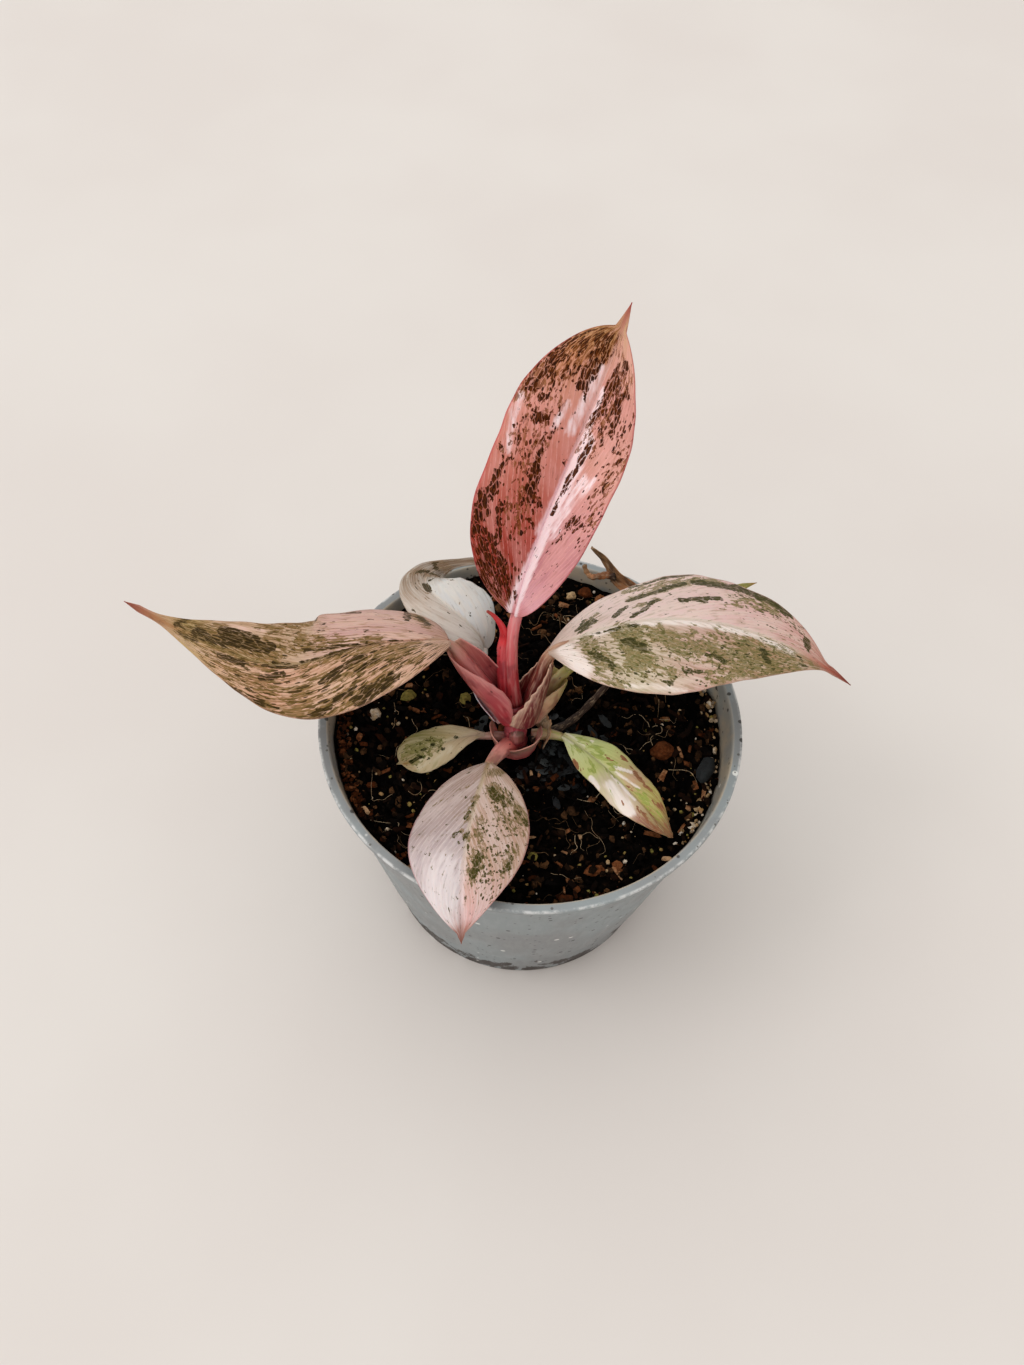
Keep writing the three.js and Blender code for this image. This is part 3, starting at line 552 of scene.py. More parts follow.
rightLeaf = {
    "slot": "leaf_cream_olive", "grid": (156, 87),
    "midrib": [[2.8, 3.6, 97.6], [27.4, 11.4, 112], [51, 11.6, 104.6], [75.7, 3.8, 90.6]],
    "halfWidth": 21.8, "rise": 0.81, "fall": 1.2, "dripFrom": 0.92, "dripWidth": 1.2, "skew": -0.055,
    "lift": ([-32, -21, 30], [-8, 3, 20]), "arch": 0.05, "ripple": 0.5, "ripples": 3, "rippleStart": 0.6,
    "veinSlope": 0.6,
    "petiole": [[-1.3, -1.6, 77], [0, -0.2, 83.4], [1.6, 1.7, 90.4]],
    "radii": [2.2, 2.2, 1.9, 1.5], "edge": "d8bca4",
    "sheath": {
        "from": 0.12, "to": 0.94, "radii": [4.6, 4.1, 3.2, 2.3], "left": [98, 82, 8],
        "right": [165, 150, 105], "frill": 8,
    },
    "markGrain": 0.75, "engraving": 0.4, "net": 0.35, "mottle": 0.4, "veins": 0.5, "oliveStrength": 0.85,
    "gloss": 0.38, "coat": 0.035,
    "dark": [
        (-15, 11, -28, 16, 0.7, 85), (-25, 10, -38, 15, 0.6, 80), (-30, 11, -50, 13, 0.5, 60),
        (-22, 22, -38, 26, 0.8, 90), (-10, 27, -40, 36, 0.7, 80), (-52, 28, -60, 36, 0.9, 85),
        (-60, 36, -75, 45, 0.9, 80), (-35, 43, -48, 54, 0.9, 85), (-80, 49, -85, 60, 1.3, 90),
        (-95, 30, -100, 48, 0.9, 80), (-92, 60, -95, 75, 1.2, 80), (-40, 82, -60, 81, 0.8, 90),
        (5, 14, 7, 28, 0.5, 60), (30, 24, 44, 29, 1.3, 80), (40, 13, 65, 18, 1, 60),
        (75, 40, 78, 46, 0.5, 90), (85, 30, 87, 36, 0.45, 70), (40, 66, 65, 68, 1, 75),
        (55, 48, 66, 53, 0.7, 70), (30, 79, 40, 80, 0.6, 50), (70, 80, 78, 82, 0.5, 50),
    ],
    "olive": [
        (20, 12, 60, 16, 3, 75), (15, 24, 60, 27, 3.6, 90), (20, 33, 45, 40, 2.8, 80),
        (45, 45, 70, 62, 3.6, 80), (35, 60, 80, 70, 3, 80), (90, 50, 80, 70, 2.6, 70),
        (30, 72, 70, 76, 2.4, 60), (70, 18, 75, 36, 1.8, 60), (-85, 28, -90, 55, 2.2, 70),
        (-20, 12, -40, 16, 2, 60), (-55, 28, -75, 46, 1.6, 70), (-60, 62, -80, 70, 2.4, 70),
        (5, 68, 7, 78, 0.9, 50), (-30, 28, -40, 36, 1.1, 70), (85, 12, 95, 20, 1.4, 60),
        (-30, 55, -50, 60, 1.2, 40), (50, 84, 90, 86, 1.6, 60), (40, 40, 60, 75, 6, 50),
    ],
    "pale": [
        (20, 5, 80, 9, 2.4, 70), (5, 10, 10, 60, 1.4, 70), (5, 60, 15, 76, 1.8, 70),
        (-60, 12, -30, 30, 2.4, 30), (95, 20, 98, 40, 0.9, 50), (-20, 62, -30, 70, 1.4, 30),
    ],
    "speck": [
        (40, 15, 60, 50, 5, 40), (85, 20, 90, 50, 3, 60), (50, 55, 80, 75, 6, 55),
        (-70, 62, -90, 78, 4, 70), (-35, 62, -50, 80, 3, 50), (-60, 10, -80, 30, 3, 30),
    ],
    "leftTones": "0 b49a90 10 dcc8c2 30 e0cac6 50 d8bcb8 70 c8a29e "
                 "82 bf948c 88 ac6e62 94 9a4640 100 7c3a34",
    "rightTones": "0 b09c90 8 ccb6ae 25 b4a890 45 bc9c92 65 a48468 "
                  "80 a5896c 88 a97564 94 9a4b45 100 7c3a34",
    "ribTones": "0 b49c88 12 d0c4b6 50 cfc2b6 78 c8b4a4 90 b4705e 100 843c36",
    "stalkTones": "0 702428 40 6e2c2a 80 6e382e 100 a07860",
    "darkTones": ("3a3a1e", "54502c"), "oliveTones": ("6e6c42", "8a7850"), "paleAndSheenTone": "e6dcd6",
    "veinTone": "d8cabc", "marginAndEdgeHighlightTone": "c09c90", "underTone": "b8aa9a",
}
backLeftLeaf = {
    "slot": "leaf_white", "grid": (110, 47),
    "midrib": [[-12.8, 16.1, 79.4], [-13.2, 17.3, 94.6], [-47.5, 30.7, 89.1], [-15, 45.2, 79.8]],
    "halfWidth": 11.6, "rise": 0.54, "fall": 1.84, "dripFrom": 0.95, "dripWidth": 1.4, "skew": 0.05,
    "lift": ([19, 5, 5], [-15, -6, 5]), "arch": 0.1, "ripple": 0.6, "ripples": 2.2, "rippleStart": 0.2,
    "veinSlope": 0.6,
    "petiole": [[-6.4, -2, 76.4], [-11.2, 2.3, 79], [-13.3, 8.3, 79.4]],
    "radii": [2.4, 2.1, 1.8, 1.4], "edge": "d8d0d4",
    "sheath": {
        "from": 0.05, "to": 0.8, "radii": [3.4, 2.8, 2.2], "left": [70, 70, 30], "right": [70, 70, 30],
        "frill": 3,
    },
    "markGrain": 0.6, "engraving": 0.3, "net": 0.2, "mottle": 0.3, "veins": 0.3, "oliveStrength": 0.75,
    "gloss": 0.45, "coat": 0.01,
    "dark": [
        (-3, 46, -5, 50, 0.9, 90), (22, 52, 27, 54, 0.5, 70), (-40, 60, -10, 64, 0.6, 80),
        (20, 62, 70, 64, 0.6, 70), (-60, 72, 20, 70, 0.7, 70),
    ],
    "olive": [(-60, 60, 60, 62, 1.8, 70), (-50, 74, 50, 76, 2.4, 80), (-30, 40, -20, 52, 1.2, 40)],
    "pale": [(40, 10, 50, 40, 4, 50)],
    "speck": [(-50, 52, 40, 60, 2, 30)],
    "leftTones": "0 b8b2ac 15 c8c1bb 40 baaca1 55 887666 70 766455 85 816c56 100 6c5440",
    "rightTones": "0 c0bdb9 20 cccecf 45 c4c3c2 57 7e7063 75 6f6155 90 806c5a 100 6c5440",
    "ribTones": "0 c0b8ac 40 cfc8c0 60 a8988a 100 7c6650",
    "stalkTones": "0 b08c8c 30 b8a4a8 60 c0b4b4 100 c4bab0",
    "darkTones": ("3e3a26", "5a4a34"), "oliveTones": ("7c6650", "8e7860"), "paleAndSheenTone": "d6d2cc",
    "veinTone": "d4cec6", "marginAndEdgeHighlightTone": "a89888", "underTone": "b0a494",
}
backRightLeaf = {
    "slot": "leaf_yellow_green", "grid": (104, 41),
    "midrib": [[7.6, 6.1, 87.6], [21, 16.8, 91.3], [37.9, 26.3, 91.8], [55.4, 34.5, 89.8]],
    "halfWidth": 9.6, "rise": 0.75, "fall": 1.1, "dripFrom": 0.93, "dripWidth": 1, "skew": 0,
    "lift": ([12, 0, 4], [12, 0, 4]), "arch": 0.08, "ripple": 0.5, "ripples": 2.4, "rippleStart": 0.2,
    "veinSlope": 0.6,
    "petiole": [[-0.6, -1, 76.8], [3.2, 2.2, 81], [5.7, 4.5, 84.5]],
    "radii": [2.4, 2.2, 1.8, 1.3], "edge": "b09070",
    "sheath": {
        "from": 0.05, "to": 0.88, "radii": [4.2, 4.5, 3.4], "left": [70, 90, 50], "right": [90, 135, 80],
        "frill": 3,
    },
    "markGrain": 0.7, "engraving": 0.3, "net": 0.3, "mottle": 0.4, "veins": 0.4, "oliveStrength": 0.8,
    "gloss": 0.38, "coat": 0.028,
    "dark": [
        (-20, 25, -50, 36, 0.9, 80), (30, 35, 60, 46, 1, 80), (-40, 55, -70, 66, 0.9, 70),
        (20, 60, 40, 72, 0.8, 70), (-30, 84, 40, 86, 1, 70),
    ],
    "olive": [
        (-30, 20, -60, 50, 3, 70), (30, 30, 60, 60, 3, 70), (-40, 70, 40, 75, 3, 70),
        (-30, 88, 30, 94, 1.6, 80),
    ],
    "pale": [(50, 20, 70, 40, 1.8, 50), (-70, 40, -50, 60, 1.6, 40)],
    "speck": [(-50, 20, -50, 80, 5, 50), (50, 20, 50, 80, 5, 50)],
    "leftTones": "0 a8a468 30 b2a87c 60 aca078 85 9c8a58 95 a08440 100 8c5a34",
    "rightTones": "0 a8a468 30 b8a88c 60 b0a07c 85 9c8a58 95 a08440 100 8c5a34",
    "ribTones": "0 b0aa78 50 c4bc9c 100 9c7c44",
    "stalkTones": "0 a87470 40 b89078 75 b0a070 100 a8a05c",
    "darkTones": ("5c6434", "737a44"), "oliveTones": ("848850", "989a60"), "paleAndSheenTone": "cfc6a8",
    "veinTone": "c8c29c", "marginAndEdgeHighlightTone": "a08468", "underTone": "a8a47c",
}
frontLeaf = {
    "slot": "leaf_pale_pink", "grid": (104, 61),
    "midrib": [[-9.6, -15.9, 77.8], [-13.9, -33.4, 82.2], [-14.3, -50.6, 87.2], [-13, -60.9, 75.9]],
    "halfWidth": 14.2, "rise": 0.73, "fall": 0.93, "dripFrom": 0.96, "dripWidth": 0.8, "skew": 0.014,
    "lift": ([10, -14, 1], [-15, -18, 30]), "arch": 0.07, "ripple": 0.4, "ripples": 2, "rippleStart": 0.1,
    "veinSlope": 0.5,
    "petiole": [[-4.7, -6.3, 71.5], [-7, -10.2, 74.2]],
    "radii": [2.2, 1.9, 1.3], "edge": "b87c78",
    "cup": {
        "centre": [-3.5, -4.4], "from": 160, "to": 372, "bottom": 69.7, "low": 75.4, "high": 78,
        "bottomRadius": 5, "topRadius": 7, "dip": 3.6, "thickness": 0.7,
    },
    "markGrain": 0.9, "engraving": 0.6, "net": 0.5, "mottle": 0.25, "veins": 0.5, "oliveStrength": 0.8,
    "gloss": 0.36, "coat": 0.042,
    "dark": [
        (-25, 18, -40, 24, 0.8, 75), (-40, 20, -55, 26, 0.7, 60), (-70, 17, -75, 20, 0.5, 60),
        (-85, 27, -95, 32, 0.7, 60), (3, 30, 10, 38, 0.45, 50), (0, 46, 4, 50, 0.5, 60),
        (-4, 53, -5, 56, 0.35, 80), (21, 48, 24, 48.5, 0.5, 110), (-28, 58, -22, 61, 1, 90),
        (-25, 61, -20, 68, 0.8, 90), (-80, 56, -82, 62, 0.5, 60), (-60, 54, -64, 55, 0.45, 70),
        (-12, 78, -14, 80, 0.35, 60), (-40, 70, -45, 72, 0.35, 50),
    ],
    "olive": [
        (-60, 6, -30, 7, 1.4, 80), (-30, 18, -60, 24, 2.2, 75), (-80, 26, -90, 34, 1.8, 70),
        (-50, 30, -70, 38, 2, 50), (2, 24, 8, 40, 0.9, 70), (-15, 38, -20, 50, 1.6, 50),
        (-25, 56, -20, 68, 1.8, 70), (-80, 48, -82, 64, 1.2, 60), (60, 26, 75, 28, 0.7, 40),
        (10, 45, 0, 50, 0.9, 60), (30, 18, 50, 20, 0.7, 35),
    ],
    "pale": [(40, 65, 70, 85, 4, 70), (30, 50, 80, 60, 4, 35), (5, 60, 6, 90, 0.7, 60)],
    "speck": [
        (-50, 20, -65, 50, 4, 70), (-55, 50, -70, 76, 4, 70), (-30, 40, -35, 75, 2.5, 60),
        (8, 66, 8, 80, 0.6, 40), (-70, 75, -90, 90, 3, 40),
    ],
    "leftTones": "0 a08870 6 b09888 20 b8a090 40 b89a8a 60 bc9e8e "
                 "78 cca8a0 88 d4acaa 93 b07c70 100 7c4c3c",
    "rightTones": "0 86705e 8 a8948a 25 aa9892 45 ac9c9a 65 b4a6a8 "
                  "80 c8bcbe 90 d0b4b2 94 a06c60 100 7c4c3c",
    "ribTones": "0 9c8668 15 b8a890 50 c4b4a8 80 d8c4c4 100 905c4c",
    "stalkTones": "0 c86668 25 d47e78 60 d89c92 100 b09478",
    "darkTones": ("3c3c18", "58502c"), "oliveTones": ("6a623c", "8a7252"), "paleAndSheenTone": "d8cece",
    "veinTone": "d8cac8", "marginAndEdgeHighlightTone": "a8686c", "underTone": "bca89e",
}
smallLeftLeaf = {
    "slot": "leaf_cream_green", "grid": (60, 33),
    "midrib": [[-11.1, -5.4, 73.9], [-21.2, -6, 73.3], [-28.1, -11.8, 71.2], [-32, -14.8, 72.8]],
    "halfWidth": 5.8, "rise": 1.04, "fall": 0.49, "dripFrom": 0.95, "dripWidth": 0.6, "skew": 0.01,
    "lift": ([3, -6, -2], [1, -5, -7]), "arch": 0.06, "ripple": 0.3, "ripples": 2.5, "rippleStart": 0.4,
    "veinSlope": 0.5,
    "petiole": [[-6.3, -4.4, 71.2], [-8.6, -4.8, 72.4]],
    "radii": [1.5, 1.2, 0.9], "edge": "cfa09a",
    "markGrain": 1, "engraving": 0.3, "net": 0.3, "mottle": 0.4, "veins": 0.3, "oliveStrength": 0.8,
    "gloss": 0.42, "coat": 0.017,
    "dark": [
        (2, 30, 4, 31, 0.35, 90), (-35, 47, -36, 49, 0.4, 90), (7, 55, 9, 56, 0.4, 90),
        (-45, 66, -46, 68, 0.4, 80), (6, 65, 8, 68, 0.4, 80), (-20, 74, -30, 86, 0.5, 95),
    ],
    "olive": [(10, 50, 20, 85, 1.8, 70), (-10, 60, -40, 85, 1.4, 60), (40, 60, 50, 80, 1.2, 60)],
    "pale": [(-50, 40, -60, 80, 1.4, 50)],
    "speck": [(0, 40, 0, 90, 4, 30)],
    "leftTones": "0 8c786c 15 ac9880 50 beae90 80 b09c7a 92 8c7048 100 7c5c3c",
    "rightTones": "0 907c6c 15 a8967e 40 a89a76 65 868052 90 8c7c54 100 7c5c3c",
    "ribTones": "0 a89484 50 bcb294 100 a09070",
    "stalkTones": "0 9c5c5c 30 a87c74 100 ac9484",
    "darkTones": ("1a1e08", "303614"), "oliveTones": ("727040", "8a8454"), "paleAndSheenTone": "d0c6b0",
    "veinTone": "c8bea4", "marginAndEdgeHighlightTone": "b0a288", "underTone": "a89c80",
}
smallRightLeaf = {
    "slot": "leaf_lime", "grid": (80, 37),
    "midrib": [[8.2, -3.8, 73], [18.1, -11.4, 75], [26, -21.8, 75.4], [35.1, -29.1, 70.2]],
    "halfWidth": 6.4, "rise": 0.82, "fall": 0.8, "dripFrom": 0.98, "dripWidth": 0.9, "skew": 0,
    "lift": ([7, -4, -5], [-16, 5, 3]), "arch": 0.08, "ripple": 0.9, "ripples": 2.2, "rippleStart": 0.3,
    "veinSlope": 0.5,
    "petiole": [[0.6, -3.2, 71.2], [4, -3.1, 71.9]],
    "radii": [1.6, 1.4, 1], "edge": "cfa09a",
    "markGrain": 0.5, "engraving": 0.2, "net": 0.2, "mottle": 0.2, "veins": 0.5, "oliveStrength": 0.8,
    "gloss": 0.36, "coat": 0.035,
    "dark": [
        (-90, 34, -95, 90, 0.9, 40), (40, 77, 80, 90, 1.8, 34), (-40, 93, 30, 95, 1.6, 40),
        (88, 20, 92, 30, 0.6, 40),
    ],
    "olive": [
        (-45, 12, -30, 42, 1.7, 50), (30, 14, 45, 34, 1.4, 42), (-20, 62, -30, 84, 1.1, 50),
        (10, 36, 10, 46, 0.8, 40),
    ],
    "pale": [
        (-25, 42, -60, 52, 0.45, 100), (-10, 45, -35, 62, 0.45, 75), (10, 46, 14, 66, 0.6, 90),
        (50, 50, 75, 70, 1.6, 80), (85, 38, 95, 46, 0.7, 90), (0, 2, 0, 16, 0.9, 70),
        (-60, 18, -62, 19, 0.5, 80), (2, 16, 2, 40, 0.35, 50),
    ],
    "speck": [(50, 75, 30, 95, 3, 40)],
    "leftTones": "0 c4c8a8 12 c2c894 30 bcc488 45 c0b484 55 c8a890 "
                 "68 aca064 85 a08858 94 80584a 100 644438",
    "rightTones": "0 c4c8a8 15 c4c898 35 bcc084 45 ccbcac 60 dcc8c0 "
                  "70 ccb0a4 78 a07868 92 845c4c 100 644438",
    "ribTones": "0 b4b480 40 bcbc90 70 b0a068 100 806048",
    "stalkTones": "0 a88470 40 b0a070 100 a8a868",
    "darkTones": ("8c5c46", "a07858"), "oliveTones": ("8c9a50", "a0a85c"), "paleAndSheenTone": "ece2dc",
    "veinTone": "c4c48c", "marginAndEdgeHighlightTone": "a88c6c", "underTone": "a09a68",
}
leaves = {
    "leaf_center": centreLeaf, "leaf_left": leftLeaf, "leaf_right": rightLeaf,
    "leaf_back_left": backLeftLeaf, "leaf_back_right": backRightLeaf, "leaf_front": frontLeaf,
    "leaf_small_left": smallLeftLeaf, "leaf_small_right": smallRightLeaf,
}


def halfWidthAt(leaf, q):
    x = np.clip(q / leaf["dripFrom"], 0, 1)
    rise, fall = leaf["rise"], leaf["fall"]
    widest = rise / (rise + fall)
    body = leaf["halfWidth"] * (x / widest) ** rise * ((1 - x) / (1 - widest)) ** fall
    drip = leaf["dripWidth"] * np.minimum(1, (1 - q) / (1 - leaf["dripFrom"]))
    return np.maximum(np.cbrt(body ** 3 + drip ** 3), blade["tipHalfWidth"])


def strokeShare(strokes, leaf, side, along, length):
    # how strongly each point of a blade is painted: most on a stroke's line, fading out round it
    def sheetPlace(s, q):
        return np.stack([s * halfWidthAt(leaf, q), q * length + 0 * s], -1)

    here = sheetPlace(side, along)
    most = np.zeros(side.shape)
    for side0, along0, side1, along1, radius, strength in np.array(strokes) / (100, 100, 100, 100, 1, 100):
        start = sheetPlace(side0, along0)
        run = sheetPlace(side1, along1) - start
        t = np.clip(((here - start) @ run) / max(run @ run, 1e-9), 0, 1)
        far = np.linalg.norm(here - start - t[..., None] * run, axis=-1) / radius
        most = np.maximum(most, strength * np.clip(1.5 - far, 0, 1))
    return most


def bladePart(leaf, seed):
    rows, columns = leaf["grid"]
    v = np.linspace(0, 1, rows)
    q = v - blade["endCrowding"] * np.sin(2 * np.pi * v)
    k = np.linspace(-1, 1, columns)
    s = np.sign(k) * np.abs(k) ** blade["columnCrowding"]
    path = bezierPath(leaf["midrib"])
    _, length = arcShares(path)
    point, _, right, above = framesAlong(path, q)
    q, s = q[:, None] + 0 * s, s + 0 * q[:, None]
    out = np.abs(s)
    width = halfWidthAt(leaf, q) * (1 + np.sign(s) * leaf["skew"])
    for hand, middle, reach, share in leaf.get("swells", []):
        width = width * (1 + np.where(s * hand > 0, share * bell(q, middle, reach), 0))
    leftLift, rightLift = leaf["lift"]
    angle = np.radians(np.where(s < 0, bendAt(leftLift, q), bendAt(rightLift, q)))
    shift = leaf["rippleStart"] + np.where(s < 0, blade["leftShift"], 0)
    swell = np.sin(np.pi * q)
    ripple = leaf["ripple"] * np.sin(2 * np.pi * (leaf["ripples"] * q + shift)) * out ** 2 * swell
    flutter = np.sin(2 * np.pi * (blade["marginWaves"] * q + 0.37 * seed) + 1.3 * np.sin(9 * q + seed))
    ripple = ripple + blade["marginWave"] * flutter * out ** 6 * swell
    arch = leaf["arch"] * width * np.sin(np.pi * out)
    middle = (
        point[:, None] + (s * width * np.cos(angle))[..., None] * right[:, None]
        + (out * width * np.sin(angle) + ripple + arch)[..., None] * above[:, None]
    )
    # distances across the side veins and along them, in millimetres
    veinLength = math.hypot(leaf["halfWidth"], leaf["veinSlope"] * length)
    lean, run = leaf["halfWidth"] / veinLength, leaf["veinSlope"] * length / veinLength
    acrossVeins = (q - leaf["veinSlope"] * out) * length * lean
    alongVeins = q * length * run + out * leaf["halfWidth"] * lean
    normal = gridNormals(middle)
    if (normal * above[:, None]).sum() < 0:
        normal = -normal
    wave = np.cos(2 * np.pi * acrossVeins / blade["veinPitch"] + np.sin(0.9 * out * veinLength + seed))
    quilt = blade["quilting"] * wave * np.sin(np.pi * np.clip(out * 1.04, 0, 1)) * swell ** 0.5
    middle = middle + quilt[..., None] * normal
    thick = np.interp(out, [0, 1], [blade["thickMiddle"], blade["thickMargin"]])
    thick = thick * np.interp(q, *blade["thinning"])
    rib = out * width
    groove = blade["grooveDepth"] * bell(rib, 0, blade["grooveWidth"])
    groove = groove * np.clip(6 * (1 - q), 0, 1) * (1 - 0.6 * q)
    marks = {"side": s, "along": q, "rib": rib}
    marks["veinPlace"] = np.stack([acrossVeins, alongVeins, np.sign(s) * 7 + 13 * seed + 0 * q], -1)
    for key in ("dark", "olive", "pale", "speck"):
        marks[key] = strokeShare(leaf[key], leaf, s, q, length)
    return closeSheet(middle, thick, normal, marks, groove)


def petiolePart(leaf):
    # the petiole runs on under the blade as its midrib
    rib = bezierPath(leaf["midrib"])
    stops = np.array([0] + blade["midribStops"])
    place, _, _, above = framesAlong(rib, stops)
    blunt, thin = leaf["radii"][-1], blade["midribEndRadius"]
    radius = blunt + (thin - blunt) * stops
    under = place - above * (blade["midribSink"] * radius)[:, None]
    path = smoothPath(np.vstack([leaf["petiole"], under]))
    _, stalkLength = arcShares(smoothPath(np.vstack([leaf["petiole"], under[:1]])))
    _, wholeLength = arcShares(path)
    share = stalkLength / wholeLength
    t = np.linspace(0, 1, 41)
    onStalk = valueAt(leaf["radii"], np.clip(t / share, 0, 1))
    onBlade = blunt + (0.75 * thin - blunt) * np.clip((t - share) / (1 - share), 0, 1) ** 0.8
    part = tubePart(path, np.where(t < share, onStalk, onBlade), sides=20, steps=80)
    part["marks"]["along"] = part["marks"]["along"] / share
    part["material"] = 1
    return part


trough = {
    "rows": 56, "columns": 33,
    "wall": ([0, 0.6, 1], [0.75, 0.5, 0.26]),  # millimetres, from the bottom to the edge
    "thinning": ([0, 0.05, 0.95, 1], [0.5, 1, 1, 0.5]),
}


def sheathPart(leaf, seed):
    # a thin trough round the petiole, open above, with a frilled edge
    sheath = leaf["sheath"]
    path = smoothPath(np.vstack([leaf["petiole"], leaf["midrib"][:1]]))
    _, length = arcShares(path)
    run = np.linspace(0, 1, trough["rows"])
    t = sheath["from"] + (sheath["to"] - sheath["from"]) * run
    place, _, right, above = framesAlong(path, t)
    side = np.linspace(-1, 1, trough["columns"])
    side, run, t = side + 0 * run[:, None], run[:, None] + 0 * side, t[:, None] + 0 * side
    radius = valueAt(sheath["radii"], run)
    spread = np.where(side < 0, bendAt(sheath["left"], run), bendAt(sheath["right"], run))
    wrinkle = np.sin(11 * run + 2.1 * seed + 3 * np.sin(5 * run)) + 0.4 * np.sin(47 * run + seed)
    frill = sheath["frill"] * np.abs(side) ** 5 * wrinkle * np.sin(np.pi * run)
    angle = side * np.radians(spread + frill)
    rise = radius - 0.5 * valueAt(leaf["radii"], t) - radius * np.cos(angle)
    across = radius * np.sin(angle)
    middle = place[:, None] + rise[..., None] * above[:, None] + across[..., None] * right[:, None]
    normal = gridNormals(middle)
    if (normal[:, trough["columns"] // 2] * above).sum() < 0:
        normal = -normal
    thick = np.interp(np.abs(side), *trough["wall"]) * np.interp(run, *trough["thinning"])
    fibre = np.stack([4 + across, rise, t * length], -1)
    marks = {"along": t, "side": side, "sheath": np.abs(side), "fibre": fibre}
    part = closeSheet(middle, thick, normal, marks)
    # the inner face of the trough, which takes painted shade
    part["marks"]["hollow"] = 1 - part["marks"]["under"]
    part["material"] = 1
    return part


flare = {
    "dipMiddle": 0.42, "dipReach": 0.16, "arch": 0.6, "opening": 1.4,
    "thinning": ([0, 0.8, 1], [1, 0.8, 0.4]),
}


def collarPart(collar, rows=26, columns=72, seed=0):
    # a flared collar round the stem; a dip lowers its front
    share = np.linspace(0, 1, columns)
    angle = np.radians(collar["from"] + (collar["to"] - collar["from"]) * share)
    tears = np.sin(23 * share + seed) + 0.6 * np.sin(51 * share + 2 * seed)
    ragged = collar.get("tear", 0) * tears * np.sin(np.pi * share)
    dip = collar.get("dip", 0) * bell(share, flare["dipMiddle"], flare["dipReach"])
    arch = np.sin(np.pi * share) ** flare["arch"]
    top = collar["low"] + (collar["high"] - collar["low"]) * arch + ragged - dip
    v = np.linspace(0, 1, rows)[:, None]
    z = collar["bottom"] + (top - collar["bottom"]) * v
    spread = np.clip((z - collar["bottom"]) / (collar["high"] - collar["bottom"]), 0, 2) ** flare["opening"]
    radius = collar["bottomRadius"] + (collar["topRadius"] - collar["bottomRadius"]) * spread
    radius = radius + 0.12 * np.sin(9 * share + 4 * v + seed) * v + 0.05 * np.sin(40 * share + seed)
    x, y = collar["centre"]
    middle = np.stack([x + radius * np.cos(angle), y + radius * np.sin(angle), z + 0 * radius], -1)
    thick = collar["thickness"] * np.interp(v, *flare["thinning"]) + 0 * share
    up = v + 0 * share
    fibre = np.stack([radius * angle, 0 * radius, z + 0 * radius], -1)
    marks = {"along": up, "side": 2 * share - 1 + 0 * v, "sheath": up, "fibre": fibre}
    return closeSheet(middle, thick, gridNormals(middle), marks)


markings = {
    # the grain of each pattern, across and along the veins, and its shift
    "streaks": ((0.95, 0.22, 1),), "fine": ((2.6, 0.7, 1), (3, 1, 0)), "wash": ((0.3, 0.07, 1), (7, 5, 0)),
    "pitch": 1.05,  # millimetres from one fine vein to the next
    "oliveDrift": 2.4, "darkDrift": 2.2, "paleAndSheenDrift": 1.2,  # how far noise moves a patch's outline
    "oliveEdge": (0.36, 0.44), "darkEdge": (0.26, 0.32), "paleAndSheenEdge": (0.2, 0.8), "dabEdge": (0.93, 0.95),
    "darkStrength": 0.97, "paleAndSheenStrength": 0.88, "spotStrength": 0.92, "marginStrength": 0.45,
    "specular": 0.07, "coatRoughness": 0.22,
    "glow": {"Subsurface Weight": 0.1, "Subsurface Radius": (1, 0.5, 0.35), "Subsurface Scale": 0.0003},
}


